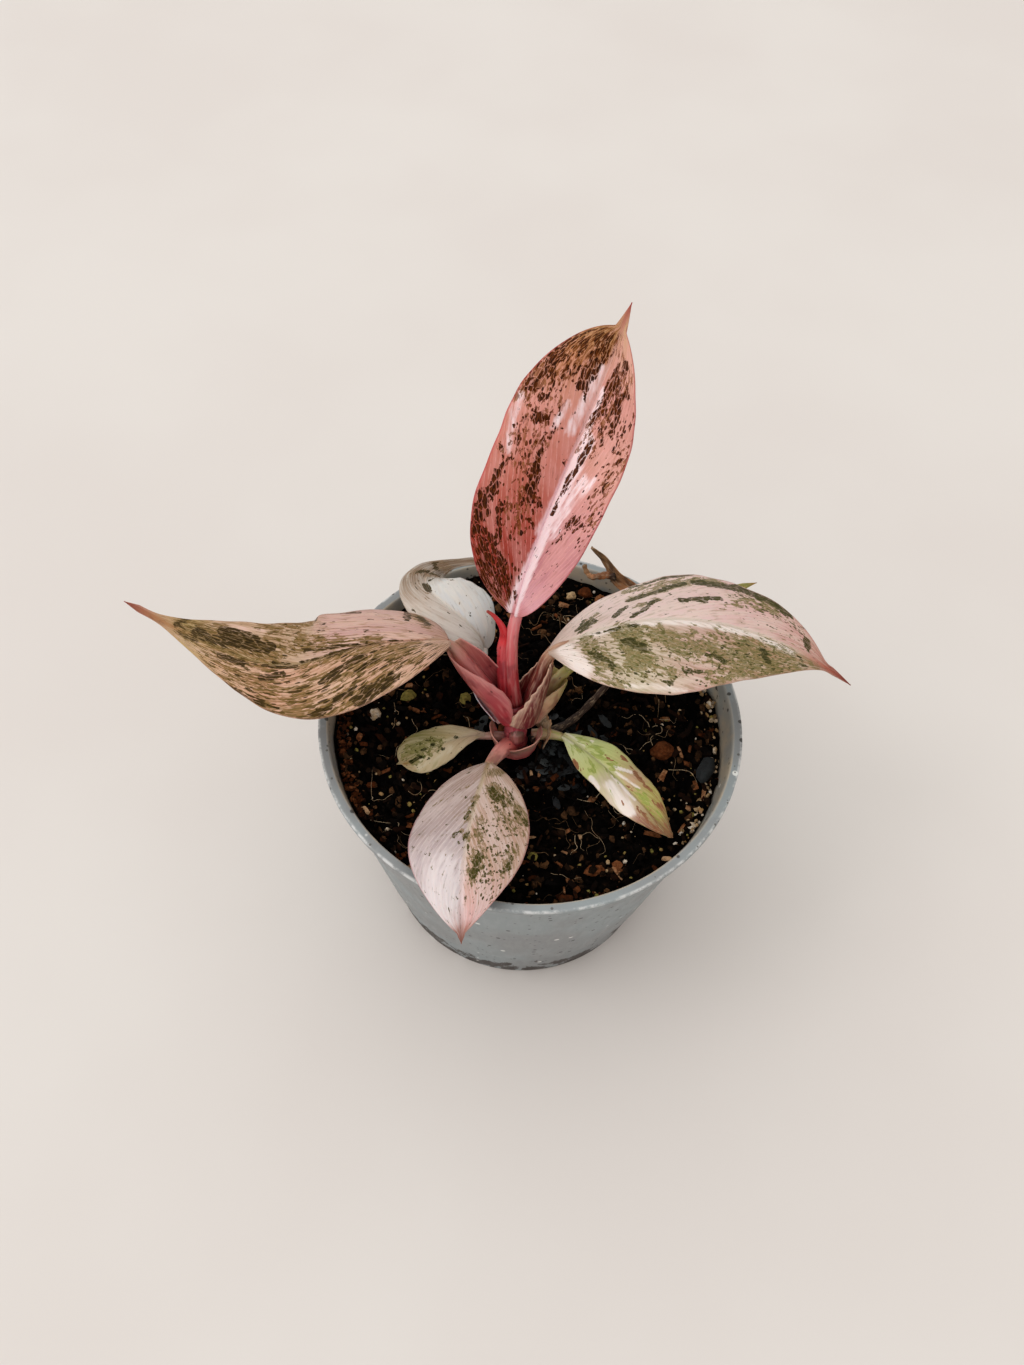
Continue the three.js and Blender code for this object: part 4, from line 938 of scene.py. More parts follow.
def bladeMaterial(name, look):
    material, tree, surface = newMaterial(name)
    keys = ("side", "along", "rib", "under", "dark", "olive", "pale", "speck")
    side, along, rib, under, dark, olive, pale, speck = (meshMark(tree, key) for key in keys)
    place = meshMark(tree, "veinPlace", "Vector")
    darkDeep, darkLight = look["darkTones"]
    oliveDeep, oliveLight = look["oliveTones"]
    streaks = cloud(stretched(place, *markings["streaks"]), detail=4)
    fine = cloud(stretched(place, *markings["fine"]), rough=0.65)
    wash = cloud(stretched(place, *markings["wash"]), detail=2)
    half = between(side, -0.03, 0.03)
    base = blend(half, colourStops(along, look["leftTones"]), colourStops(along, look["rightTones"]))
    base = blend(between(wash, 0.42, 0.62, 0, 0.35), base, look["veinTone"])
    base = blend(between(streaks, 0.5, 0.68, 0, look["mottle"]), base, oliveLight)
    # fine pale veins
    ridge = mathNode("SINE", split("XYZ", place)[0] * (2 * math.pi / markings["pitch"]) + streaks * 5)
    veins = between(ridge, 0.72, 1) * between(fine, 0.36, 0.6, 0.15, look["veins"])
    base = blend(veins, base, look["veinTone"])
    # the pale parts, and the midrib; where the pale strokes stand for gloss, as on the centre leaf, they are
    # painted highlights (sheen)
    paleAndSheenArea = pale + (streaks - 0.5) * markings["paleAndSheenDrift"]
    paleAndSheenOn = between(paleAndSheenArea, *markings["paleAndSheenEdge"], 0, markings["paleAndSheenStrength"])
    base = blend(paleAndSheenOn, base, look["paleAndSheenTone"])
    ribShare = between(rib - streaks * 0.7, -0.1, 0.5, 0.85, 0)
    base = blend(ribShare, base, colourStops(along, look["ribTones"]))
    # dark and olive marks: patches with crisp, wandering outlines, split by fine pale veins
    grain = look["markGrain"]  # 1 makes round marks, less draws them out along the veins
    bent = shaken(place, 0.5, 1.2)
    blobs = cloud(stretched(bent, (0.62, 0.5 * grain, 1), (5, 9, 0)))
    islands = cloud(stretched(bent, (0.75, 0.5 * grain, 1), (2, 4, 0)))
    netPlace = shaken(stretched(place, (0.95, 0.7 * grain, 1)), 1.3, 0.9)
    _, chance = cells(netPlace)
    gaps = between(cellGaps(netPlace), 0.02, 0.09, 1 - look["net"], 1)
    oliveArea = olive + (islands - 0.5) * markings["oliveDrift"] - chance[1] * 0.24
    # thin dark lines between the veins where the olive lies
    engraved = between(ridge, -0.75, -0.97) * between(oliveArea, -0.05, 0.3, 0, look["engraving"])
    base = blend(engraved, base, oliveDeep)
    oliveOn = between(oliveArea, *markings["oliveEdge"], 0, look["oliveStrength"])
    base = blend(oliveOn * gaps, base, blend(between(fine, 0.42, 0.58), oliveDeep, oliveLight))
    near = between(olive + speck, 0.05, 0.8)
    dabs = cloud(stretched(bent, (1.3, grain, 1), (9, 2, 0)), detail=2, rough=0.5) + near * 0.36
    dabsOn = between(dabs, *markings["dabEdge"], 0, look["oliveStrength"])
    base = blend(dabsOn, base, blend(chance[2], oliveDeep, darkLight))
    darkArea = dark + (blobs - 0.5) * markings["darkDrift"] - chance[0] * 0.2
    darkOn = between(darkArea, *markings["darkEdge"], 0, markings["darkStrength"])
    base = blend(darkOn * gaps, base, blend(between(fine, 0.4, 0.62), darkDeep, darkLight))
    # single specks
    far, chance = cells(shaken(stretched(place, (1.25, grain, 1), (0.4, 0.7, 0)), 1.2, 0.4))
    spots = between(speck * (0.7 - chance[0]) - far * 0.9, -0.01, 0.03, 0, markings["spotStrength"])
    base = blend(spots, base, blend(chance[1], darkDeep, darkLight))
    # a thin band of margin tone: the blade's own edge colour, and on the left leaf a painted edge highlight
    margin = between(mathNode("ABSOLUTE", side), 0.965, 0.995, 0, markings["marginStrength"])
    base = blend(margin, base, look["marginAndEdgeHighlightTone"])
    base = blend(under * 0.55, base, look["underTone"])
    feedAll(surface, {
        "Base Color": base,
        "Roughness": between(fine, 0.3, 0.7, look["gloss"] - 0.04, look["gloss"] + 0.12),
        "Specular IOR Level": markings["specular"],
        "Coat Weight": look["coat"], "Coat Roughness": markings["coatRoughness"],
        "Normal": relief(ridge * 0.35 + fine * 1.2, 0.05, 0.6),
        **markings["glow"],
    })
    return material


stalk = {
    # hollow: the dark red of the painted shade inside the sheaths
    "blotch": (0.16, 0.02, 0.03, 1), "hollow": "7c0810", "fleck": "3c1410", "coat": 0.1,
    "glow": {"Subsurface Weight": 0.18, "Subsurface Radius": (1, 0.3, 0.25), "Subsurface Scale": 0.0008},
}


def stalkMaterial(name, stops, edgeTone, gloss=0.32, edgeShare=0.55):
    material, tree, surface = newMaterial(name)
    fibre = meshMark(tree, "fibre", "Vector")
    along, sheath, hollow = (meshMark(tree, key) for key in ("along", "sheath", "hollow"))
    fibres = cloud(stretched(fibre, (1.6, 1.6, 0.16)))
    blotch = cloud(stretched(fibre, (0.35, 0.35, 0.2), (2, 5, 1)), detail=2)
    base = blend(between(fibres, 0.45, 0.65, 0, 0.4), colourStops(along, stops), edgeTone)
    base = blend(between(blotch, 0.5, 0.66, 0, 0.45), base, stalk["blotch"])
    # painted shade: dark red on the inner face of the sheaths, deepest towards their foot
    base = blend(hollow * between(along, 0.15, 0.55, 0.9, 0), base, stalk["hollow"])
    base = blend(between(sheath, 0.82, 1) * edgeShare, base, edgeTone)
    far, chance = cells(stretched(fibre, (1.1, 1.1, 0.5)))
    fleck = between(far, 0.16, 0.24, 1, 0) * mathNode("GREATER_THAN", chance[0], 0.82)
    feedAll(surface, {
        "Base Color": blend(fleck * 0.6, base, stalk["fleck"]),
        "Roughness": between(fibres, 0.3, 0.7, gloss, gloss + 0.12),
        "Coat Weight": stalk["coat"],
        "Normal": relief(fibres, 0.06, 0.5),
        **stalk["glow"],
    })
    return material


for seed, (name, leaf) in enumerate(leaves.items()):
    parts = [bladePart(leaf, seed), petiolePart(leaf)]
    if "sheath" in leaf:
        parts.append(sheathPart(leaf, seed))
    if "cup" in leaf:
        parts.append(collarPart(leaf["cup"], seed=seed) | {"material": 1})
    bladeLook = bladeMaterial(name + "Blade", leaf)
    stalkLook = stalkMaterial(name + "Stalk", leaf["stalkTones"], leaf["edge"])
    makePiece(name + "Dressed", parts, [bladeLook, stalkLook], name)

# stem, spear, dried pieces
stem = {
    "path": [[-3.5, -5, 44], [-3.5, -4.8, 66], [-3.6, -4, 75], [-4.2, -2, 82]],
    "radii": [2.6, 3, 2.9, 2.4],
    "knob": [[-3.5, -5, 77], [-3.3, -6.1, 75], [-3.1, -6.7, 72.8]],
    "knobRadii": [1, 1.9, 1.8, 1.3],
    "rings": (0.62, 0.71, 0.8, 0.9), "ringHeight": 0.07, "ringReach": 0.012,
    "tones": "0 5c4030 60 86544c 72 8e4c50 85 a04450 100 b0404a",
    "edge": "c08080",
}
spear = {
    "path": [[-6.6, -1.4, 83], [-7.3, 0.5, 87.5], [-7.7, 2.7, 92.2], [-7.8, 4.8, 96.2], [-7.6, 6.3, 99],
             [-8, 7.1, 100.6], [-9.1, 7.9, 102.4], [-10.5, 8.5, 103.9], [-11.9, 8.9, 104.8]],
    "radii": [1.1, 1.4, 1.5, 1.5, 1.45, 1.4, 1.2, 0.85, 0.6, 0.35],
    "turns": 0.8, "wrap": 0.14,
    "tones": "0 a0242c 30 b03c44 58 bc484c 64 c83036 70 b00e18 85 b81a24 95 a8302e 100 8c3c2c",
    "edge": "cc5c60", "gloss": 0.25, "edgeShare": 0.3,
}
withered = {
    "petiole": [[0.3, -4.4, 71], [8.9, 0.7, 70.8], [19.9, 14.2, 71.1], [27.9, 27.4, 71.8]],
    "petioleRadii": [1.3, 0.9, 0.8, 1],
    "strip": [[27.5, 26.9, 71.7], [28, 37.4, 76.6], [20.6, 42.6, 79.8], [13.7, 46.5, 85.8]],
    "lobe": [[20.6, 42.6, 79.7], [17.6, 43.1, 79], [15, 43.6, 77.4], [13.5, 44.7, 77], [12.3, 46.4, 78.8]],
    "lobeRadii": [1.1, 1, 0.8, 0.7, 0.6],
    "endHalfWidth": 1.5, "halfWidth": 2.3, "twistTurns": 0.35, "crumple": 0.5, "crumples": 1.4,
    # the stalk takes its colour from the first share of the tones, the strip from the rest
    "stalkTones": 0.1, "stripFrom": 0.15,
    "tones": "0 2c2018 10 4a3022 25 b07448 50 a8744e 75 96704e 100 86694a",
    "flecks": "a8947c",
}
drySheath = {
    "centre": [-3.5, -4.4], "from": -15, "to": 48, "bottom": 69.7, "low": 72.6, "high": 76,
    "bottomRadius": 7.2, "topRadius": 8.8, "thickness": 0.4, "tear": 0.35,
    "tones": "0 8c6a50 40 b89c80 80 d4c0a0 100 b8906c", "flecks": "e0d4c0",
}
dryPatch = "3c2a20"  # the darkest tone of both dried pieces


def stemWobble(share, angle):
    rings = sum(stem["ringHeight"] * bell(share, ring, stem["ringReach"]) for ring in stem["rings"])
    return 1 + rings + 0.03 * np.sin(3 * angle + 14 * share)


def spearWobble(share, angle):
    # the free edge of the rolled leaf winds once round the spear
    turn = (angle / (2 * np.pi) - spear["turns"] * share) % 1
    return 0.9 + spear["wrap"] * turn


def knobbly(share, angle):
    return 1 + 0.12 * np.sin(3 * angle + 20 * share) + 0.1 * np.sin(47 * share)


def dryMaterial(name, look):
    material, tree, surface = newMaterial(name)
    fibre = meshMark(tree, "fibre", "Vector")
    fibres = cloud(stretched(fibre, (2.2, 2.2, 0.5)), detail=4)
    patches = cloud(stretched(fibre, (0.5, 0.5, 0.3), (4, 2, 6)))
    base = colourStops(meshMark(tree, "along"), look["tones"])
    base = blend(between(patches, 0.45, 0.62, 0, 0.6), base, dryPatch)
    feedAll(surface, {
        "Base Color": blend(between(fibres, 0.5, 0.68, 0, 0.6), base, look["flecks"]),
        "Roughness": between(fibres, 0.3, 0.7, 0.6, 0.85),
        "Normal": relief(fibres, 0.2, 0.8),
    })
    return material


def witheredParts():
    path = smoothPath(withered["strip"])
    v = np.linspace(0, 1, 90)
    place, _, right, above = framesAlong(path, v)
    side = np.linspace(-1, 1, 25)
    side, v = side + 0 * v[:, None], v[:, None] + 0 * side
    angle = 2 * np.pi * withered["twistTurns"] * v
    swell = np.sin(np.pi * v)
    width = withered["endHalfWidth"] + (withered["halfWidth"] - withered["endHalfWidth"]) * swell
    curl = withered["crumple"] * np.sin(2 * np.pi * withered["crumples"] * v) * side ** 2
    crease = 0.28 * np.sin(5 * side + 9 * v) * np.sin(13 * v + 3 * side) + 0.18 * np.sin(31 * v + 4 * side)
    across = side * width * np.cos(angle) + curl + 0.12 * np.sin(24 * v)
    rise = side * width * np.sin(angle) + curl + crease * swell
    middle = place[:, None] + across[..., None] * right[:, None] + rise[..., None] * above[:, None]
    thick = np.interp(np.abs(side), [0, 1], [0.5, 0.25])
    _, length = arcShares(path)
    fibre = np.stack([side * width, 0 * v, v * length], -1)
    along = withered["stripFrom"] + (1 - withered["stripFrom"]) * v
    strip = closeSheet(middle, thick, gridNormals(middle), {"along": along, "side": side, "fibre": fibre})
    foot = tubePart(smoothPath(withered["petiole"]), withered["petioleRadii"], 14, 120, knobbly)
    foot["marks"]["along"] = foot["marks"]["along"] * withered["stalkTones"]
    lobe = tubePart(smoothPath(withered["lobe"]), withered["lobeRadii"], 14, 60, knobbly)
    return [strip, foot, lobe]


stemParts = [
    tubePart(smoothPath(stem["path"]), stem["radii"], 40, 150, stemWobble),
    tubePart(smoothPath(stem["knob"]), stem["knobRadii"], 24, 30),
]
stemLook = stalkMaterial("stemFlesh", stem["tones"], stem["edge"])
makePiece("stemDressed", stemParts, [stemLook], "stem")
spearParts = [tubePart(smoothPath(spear["path"]), spear["radii"], 36, 90, spearWobble)]
spearLook = stalkMaterial("spearRed", spear["tones"], spear["edge"], spear["gloss"], spear["edgeShare"])
makePiece("newLeafSpearDressed", spearParts, [spearLook], "new_leaf_spear")
dryLook = dryMaterial("witheredBrown", withered)
makePiece("witheredLeafDressed", witheredParts(), [dryLook], "withered_leaf")
papery = dryMaterial("paperySheath", drySheath)
sheathParts = [collarPart(drySheath, 30, 60, seed=3)]
makePiece("drySheathDressed", sheathParts, [papery], "dry_sheath")

# pot
pot = {
    "rim": 52.5, "height": 75, "foot": 37.5, "wall": 1.3, "floor": 1.6, "lipWidth": 2.3, "lipDepth": 1.5,
    "overhang": 1.2, "stepHeight": 16.5, "stepDepth": 0.9, "waist": 45, "sectors": 144,
    "bends": [0.5, 0.4, 0.6, 0.8, 0.4, 0.4, 3, 0.5, 0.45, 0.45, 0.5, 0.8, 3, 1, 1.5],  # one for each corner
    "holes": 6, "holeRadius": 3, "holeCircle": 24, "sharp": 50,
    "dentDepth": 0.16, "dentDrop": 0.1,
    # heights and radii where the scuffs of the lip and its pale inner edge set in
    "lipTop": (74, 74.7), "lipEdge": (51.7, 52.2), "innerLipTop": (73.6, 74.9), "innerLipEdge": (50.8, 50.2),
    "grey": "8f9698", "warmGrey": "898b8c", "drags": "a4aaac", "scuff": "cccccb", "innerLip": "b4b6b6",
    "dust": "b8a890", "dustSlope": 0.183, "dustWall": (36.9, 36.6), "dustFrom": (60, 66),
    "stepShade": "4c5052", "dirt": "30231a", "dirtHeight": 22,
    # specks: cells in a metre, share of the cells left plain, size, tone
    "specks": ((420, 0.86, 0.2, "2c2622"), (300, 0.93, 0.17, "e8e8e4"), (900, 0.9, 0.26, "5a5754")),
}
stepTop = pot["stepHeight"] + pot["stepDepth"]


def potOuter(z):
    return pot["foot"] + (pot["rim"] - pot["overhang"] - pot["foot"]) * z / pot["height"]


def potInner(z):
    return potOuter(z) - pot["wall"]


def turnedPart(outline, sectors, shake):
    # a closed body turned from its outline of radius and height; its two ends lie on the axis
    outline = np.array(outline, float)
    angle = np.arange(sectors) * 2 * np.pi / sectors
    ring = outline[1:-1]
    radius, height = shake(ring[:, :1] + 0 * angle, ring[:, 1:] + 0 * angle, angle)
    points = np.stack([radius * np.cos(angle), radius * np.sin(angle), height], -1).reshape(-1, 3)
    ends = np.array([[0, 0, outline[0, 1]], [0, 0, outline[-1, 1]]])
    return {"points": np.vstack([points, ends]), "faces": ringFaces(len(ring), sectors), "marks": {}}


def rounded(corners, bends, steps=4):
    # an outline with its corners rounded off, each by its own small radius
    line = [corners[0]]
    for before, corner, after, bend in zip(corners, corners[1:], corners[2:], bends):
        corner = np.array(corner, float)
        into, out = np.array(before) - corner, np.array(after) - corner
        reach = min(bend, 0.45 * np.linalg.norm(into), 0.45 * np.linalg.norm(out))
        start, end = corner + reach * unit(into), corner + reach * unit(out)
        for t in np.linspace(0, 1, steps + 1):
            line.append((1 - t) ** 2 * start + 2 * t * (1 - t) * corner + t * t * end)
    line.append(corners[-1])
    return line


def potOutline():
    rim, top, foot, waist, floorTop = (pot[key] for key in ("rim", "height", "foot", "waist", "floor"))
    under = top - pot["lipDepth"]
    return rounded([
        (0, 0), (foot - 3.5, 0.9), (foot - 3, 0), (foot - 0.5, 0), (foot, 1),
        (potOuter(pot["stepHeight"]) - pot["stepDepth"], pot["stepHeight"]), (potOuter(stepTop), stepTop),
        (potOuter(waist), waist), (potOuter(under), under), (rim, under), (rim, top),
        (rim - pot["lipWidth"], top), (potInner(under), under), (potInner(waist), waist),
        (potInner(stepTop), stepTop), (potInner(floorTop) - pot["stepDepth"], floorTop), (0, floorTop),
    ], pot["bends"])


def potShake(radius, height, angle):
    # a moulded rim is never quite even: small dents along the outer edge of the lip
    nearLip = np.clip((height - 73) / 1.5, 0, 1) * np.clip((radius - 51.5) / 0.8, 0, 1)
    dents = np.clip(np.sin(17 * angle) * np.sin(41 * angle + 1) + 0.5 * np.sin(97 * angle) - 0.7, 0, 1)
    return radius - pot["dentDepth"] * dents * nearLip, height - pot["dentDrop"] * dents * nearLip


def potMaterial():
    material, tree, surface = newMaterial("potPlastic")
    place = bodyPlace(tree)
    x, y, z = split("XYZ", place)
    height = z / millimetre
    radius = mathNode("SQRT", mathNode("POWER", x, 2) + mathNode("POWER", y, 2)) / millimetre
    drags = cloud(stretched(place, (1, 1, 0.25)), 420, 4, 0.6)
    base = blend(between(cloud(place, 40), 0.4, 0.6), pot["grey"], pot["warmGrey"])
    base = blend(between(drags, 0.55, 0.72, 0, 0.25), base, pot["drags"])
    # pale scuffs on the lip, and dust inside it
    lip = between(height, *pot["lipTop"]) * between(radius, *pot["lipEdge"])
    base = blend(lip * between(cloud(place, 260, 4, 0.7), 0.42, 0.6, 0.05, 0.8), base, pot["scuff"])
    innerLip = between(height, *pot["innerLipTop"]) * between(radius, *pot["innerLipEdge"])
    base = blend(innerLip * 0.35, base, pot["innerLip"])
    inside = between(radius - height * pot["dustSlope"], *pot["dustWall"]) * between(height, *pot["dustFrom"])
    base = blend(inside * between(cloud(place, 150, 4), 0.35, 0.65, 0.2, 0.7), base, pot["dust"])
    # the shade under the foot's step
    step = mathNode("ABSOLUTE", height - (pot["stepHeight"] - 0.3))
    base = blend(between(step, 0.2, 1, 0.45, 0), base, pot["stepShade"])
    # dirt round the foot, specks and pale flecks on the wall
    dirt = between(height, 0, pot["dirtHeight"], 1, 0) + (cloud(place, 190, 5, 0.65) - 0.5) * 2.6
    base = blend(between(dirt, 0.74, 0.9, 0, 0.9), base, pot["dirt"])
    for scale, rarity, size, code in pot["specks"]:
        far, chance = cells(place, scale)
        spot = between(far, size, size + 0.08, 0.8, 0) * mathNode("GREATER_THAN", chance[0], rarity)
        base = blend(spot, base, code)
    feedAll(surface, {
        "Base Color": base,
        "Roughness": between(drags, 0.3, 0.7, 0.42, 0.56),
        "Normal": relief(cloud(place, 1500, 2) * 0.6 + drags * 0.4, 0.05, 0.35),
    })
    return material


def cutDrainHoles(body):
    punch = bmesh.new()
    for i in range(pot["holes"]):
        angle = 2 * math.pi * i / pot["holes"]
        centre = Vector((math.cos(angle), math.sin(angle), 0)) * pot["holeCircle"] * millimetre
        radius = pot["holeRadius"] * millimetre
        bmesh.ops.create_cone(
            punch, cap_ends=True, segments=48, radius1=radius, radius2=radius,
            depth=8 * millimetre, matrix=Matrix.Translation(centre),
        )
    cutterMesh = bpy.data.meshes.new("holePunch")
    punch.to_mesh(cutterMesh)
    punch.free()
    cutter = link(bpy.data.objects.new("holePunch", cutterMesh))
    cut = body.modifiers.new("drainHoles", "BOOLEAN")
    cut.operation = "DIFFERENCE"
    cut.solver = "EXACT"
    cut.object = cutter
    bpy.context.view_layer.update()
    finished = bpy.data.meshes.new_from_object(body.evaluated_get(bpy.context.evaluated_depsgraph_get()))
    body.modifiers.clear()
    body.data = finished
    bpy.data.objects.remove(cutter)
    finished.set_sharp_from_angle(angle=math.radians(pot["sharp"]))


potParts = [turnedPart(potOutline(), pot["sectors"], potShake)]
cutDrainHoles(makePiece("potDressed", potParts, [potMaterial()], "pot", pot["sharp"]))

# soil
soil = {
    "level": 68.2, "slopeRight": -0.02, "slopeBack": 0.05, "bank": 1.4, "bankFrom": 36, "bankTo": 49,
    "lumps": [(0.42, 0.2, 0.36, 1.3), (0.28, 0.83, -0.5, 0), (0.18, 0.9, 1.7, 0)],
    "waves": ((7, 0.45), (4, 0.4), (2.4, 0.35), (1.5, 0.25), (1.0, 0.15)), "waveSeed": 5,
    "rings": 76, "sectors": 190, "gap": 0.3, "bodyDrop": 0.3,
    "stemFoot": (-3.5, -4.6), "sharp": 28, "seed": 11,
}
# Small pieces of the mix. Round ones have a size, a spread of their three sides and a power that makes
# small ones more common; flat ones have a range for each side and a tilt.
crumbs = {"count": 3600, "size": (0.25, 1.15), "power": 1.8, "spread": (0.6, 1.2), "dents": 0.35}
grits = {"count": 240, "size": (0.2, 0.6), "spread": (0.7, 1.2), "dents": 0.12, "tints": (0.2, 1)}
chips = {
    "count": 420, "sides": ((0.7, 2.2), (0.25, 0.8), (0.15, 0.4)), "tilt": 0.7, "dents": 0.2, "darker": 1.5,
}
litter = {  # black leaf litter to the right of the stem
    "count": 100, "sides": ((1, 3), (0.5, 1.4), (0.1, 0.16)), "tilt": 0.6, "dents": 0.3, "tints": (0, 0.7),
    "centre": (10, -6), "reach": 6,
}
packed = {"size": (0.3, 0.85), "spread": (0.5, 1.3), "dents": 0.4, "depth": 2.6}
roots = {"count": 180, "within": 47, "darkCentre": (11, -5), "darkReach": 6.5, "thickness": (0.05, 0.09)}
# places in the soil's list of materials, which starts with the earth itself
crumbLook, chipLook, gritLook, rootLook, leafLook = range(1, 6)
# packed along the wall: degrees from and to, count, tints, material
wallBands = ((165, 215, 260, (0.35, 0.75), chipLook), (-40, 30, 90, (0.6, 1), gritLook),
             (215, 300, 90, (0.1, 0.6), chipLook))
# Larger pieces seen on the soil: material, x, y, length, width, height, turn, tint.
soilPieces = [
    (chipLook, 33.8, -3.4, 3.3, 2.5, 1.8, 20, 0.62), (leafLook, 44.2, -8.4, 2.0, 4.2, 1.6, -22, 0.42),
    (gritLook, -39.3, 1.4, 1.5, 1.7, 1.4, 0, 0.86), (chipLook, 16.7, -36.8, 2.6, 1.4, 0.9, 15, 0.66),
    (chipLook, 22.6, -35.1, 1.8, 1.3, 0.9, -30, 0.7), (gritLook, -31.5, 7.4, 2.1, 1.6, 1.4, 30, 0.35),
    (gritLook, -16.9, 7.5, 1.9, 1.5, 1.3, 80, 0.38), (gritLook, 2.1, -34.6, 1.3, 1.1, 1.0, 0, 0.3),
    (chipLook, 13.3, 43.1, 1.9, 1.6, 1.4, 0, 0.55), (chipLook, 17.4, 41.6, 1.7, 1.4, 1.3, 40, 0.8),
    (chipLook, 21.5, 40.0, 1.6, 1.3, 1.2, 70, 0.62), (gritLook, 9.5, 42.6, 1.5, 1.2, 1.1, 20, 0.75),
]
# the materials of the mix: tones, roughness, specular
grainLooks = {
    "soilCrumb": ("0 020101 55 100a06 80 342418 100 644830", 0.85, 0.1),
    "barkChip": ("0 0e0907 35 28160c 60 583018 80 84583a 100 b49474", 0.8, 0.1),
    "soilGrit": ("0 3a3a20 35 8c8248 60 9c7c54 80 b49c7c 100 d8d0c4", 0.6, 0.1),
    "rootThread": ("0 0a0808 35 1c1614 60 80684e 100 c0ac90", 0.7, 0.1),
    "darkLeafChip": ("0 08090a 40 202427 100 5e6464", 0.35, 0.4),
}


def soilLevel(x, y):
    radius = np.hypot(x, y)
    t = np.clip((radius - soil["bankFrom"]) / (soil["bankTo"] - soil["bankFrom"]), 0, 1)
    bank = soil["bank"] * t * t * (3 - 2 * t) * np.maximum(0, -x / soil["bankTo"])
    lumps = sum(h * np.sin(a * x + b * y + start) for h, a, b, start in soil["lumps"])
    return soil["level"] + soil["slopeRight"] * x + soil["slopeBack"] * y + bank + lumps


def crumbly(x, y):
    # broken ground: sums of turned waves, each shorter and lower than the last
    total = np.zeros(np.shape(x))
    chance = np.random.default_rng(soil["waveSeed"])
    for size, height in soil["waves"]:
        for _ in range(4):
            turn, start, warp = chance.uniform(0, 2 * np.pi, 3)
            u = x * np.cos(turn) + y * np.sin(turn)
            v = y * np.cos(turn) - x * np.sin(turn)
            warped = 2 * np.pi * u / size + start + 1.4 * np.sin(2 * np.pi * v / (1.3 * size) + warp)
            total = total + 0.5 * height * np.sin(warped)
    return total


def fromStem(x, y):
    return np.hypot(x - soil["stemFoot"][0], y - soil["stemFoot"][1])


def onGround(x, y, lift):
    return np.stack([x, y, soilLevel(x, y) + crumbly(x, y) + lift], -1)


def soilBodyPart():
    rings = soil["rings"]
    edge = potInner(soil["level"]) - soil["gap"]
    bottom = pot["floor"] + soil["gap"]
    top = 100  # stands for the broken surface until it is laid
    outline = [(0, bottom), (potInner(bottom) - pot["stepDepth"] - 2 * soil["gap"], bottom),
               (potInner(stepTop) - 2 * soil["gap"], stepTop + soil["gap"])]
    outline += [(edge * (k / rings), top) for k in range(rings, -1, -1)]

    def lay(radius, height, angle):
        x, y = radius * np.cos(angle), radius * np.sin(angle)
        calm = np.clip((edge - radius) / 2, 0, 1)
        level = soilLevel(x, y) + crumbly(x, y) * calm - soil["bodyDrop"]
        atWall = (height == top) & (radius > edge - 0.01)
        height = np.where(height == top, level, height)
        return np.where(atWall, potInner(height) - soil["gap"], radius), height

    part = turnedPart(outline, soil["sectors"], lay)
    part["points"][-1] = onGround(0, 0, -soil["bodyDrop"])
    return part


def smallShape(subdivisions=None):
    # a pebble, or a splinter: a box with its long edges cut off unevenly
    shape = bmesh.new()
    if subdivisions:
        bmesh.ops.create_icosphere(shape, subdivisions=subdivisions, radius=1)
    else:
        bmesh.ops.create_cube(shape, size=2)
        bmesh.ops.bevel(shape, geom=shape.edges[:], offset=0.35, segments=1, affect="EDGES")
        bmesh.ops.triangulate(shape, faces=shape.faces[:])
    points = np.array([v.co for v in shape.verts])
    faces = np.array([[v.index for v in f.verts] for f in shape.faces])
    shape.free()
    return points, faces


def drawnSizes(kind, count, chance):
    # the three sides, the turn with the tilt, and the tint of each small piece
    if "sides" in kind:
        sizes = np.stack([chance.uniform(*span, count) for span in kind["sides"]], -1)
        turns = [chance.uniform(0, 2 * np.pi, count), chance.uniform(-kind["tilt"], kind["tilt"], count)]
        turns = np.stack(turns, -1)
    else:
        sizes = chance.uniform(*kind["size"], (count, 1)) ** kind.get("power", 1)
        sizes = sizes * chance.uniform(*kind["spread"], (count, 3))
        turns = chance.uniform(0, np.pi, (count, 2))
    tints = chance.uniform(*kind.get("tints", (0, 1)), count) ** kind.get("darker", 1)
    return sizes, turns, tints


def scatterPart(shape, places, drawn, dents, material, chance):
    # copies of one small shape, each with its own size, turn and dents
    base, faces = shape
    sizes, turns, tints = drawn
    count, corners = len(places), len(base)
    points = base[None] * (1 + dents * chance.uniform(-1, 1, (count, corners, 1))) * sizes[:, None]
    yaw, tilt = turns[:, :1], turns[:, 1:]
    x, y, z = points[..., 0], points[..., 1], points[..., 2]
    x, z = x * np.cos(tilt) + z * np.sin(tilt), z * np.cos(tilt) - x * np.sin(tilt)
    x, y = x * np.cos(yaw) - y * np.sin(yaw), x * np.sin(yaw) + y * np.cos(yaw)
    points = np.stack([x, y, z], -1) + places[:, None]
    return {
        "points": points.reshape(-1, 3), "material": material,
        "faces": [(faces[None] + corners * np.arange(count)[:, None, None]).reshape(-1, 3)],
        "marks": {"tint": np.repeat(tints, corners)},
    }


def scatterKind(kind, shape, places, material, chance):
    drawn = drawnSizes(kind, len(places), chance)
    return scatterPart(shape, places, drawn, kind["dents"], material, chance)


def scatterPlaces(chance, count, lift=0.0, inner=4.6, gather=0.5):
    outer = potInner(soil["level"]) - 1
    angle = chance.uniform(0, 2 * np.pi, count)
    radius = inner + (outer - inner) * chance.uniform(0, 1, count) ** gather
    x, y = radius * np.cos(angle), radius * np.sin(angle)
    clear = fromStem(x, y) > 5.2
    return onGround(x[clear], y[clear], -soil["bodyDrop"]) + [0, 0, lift]


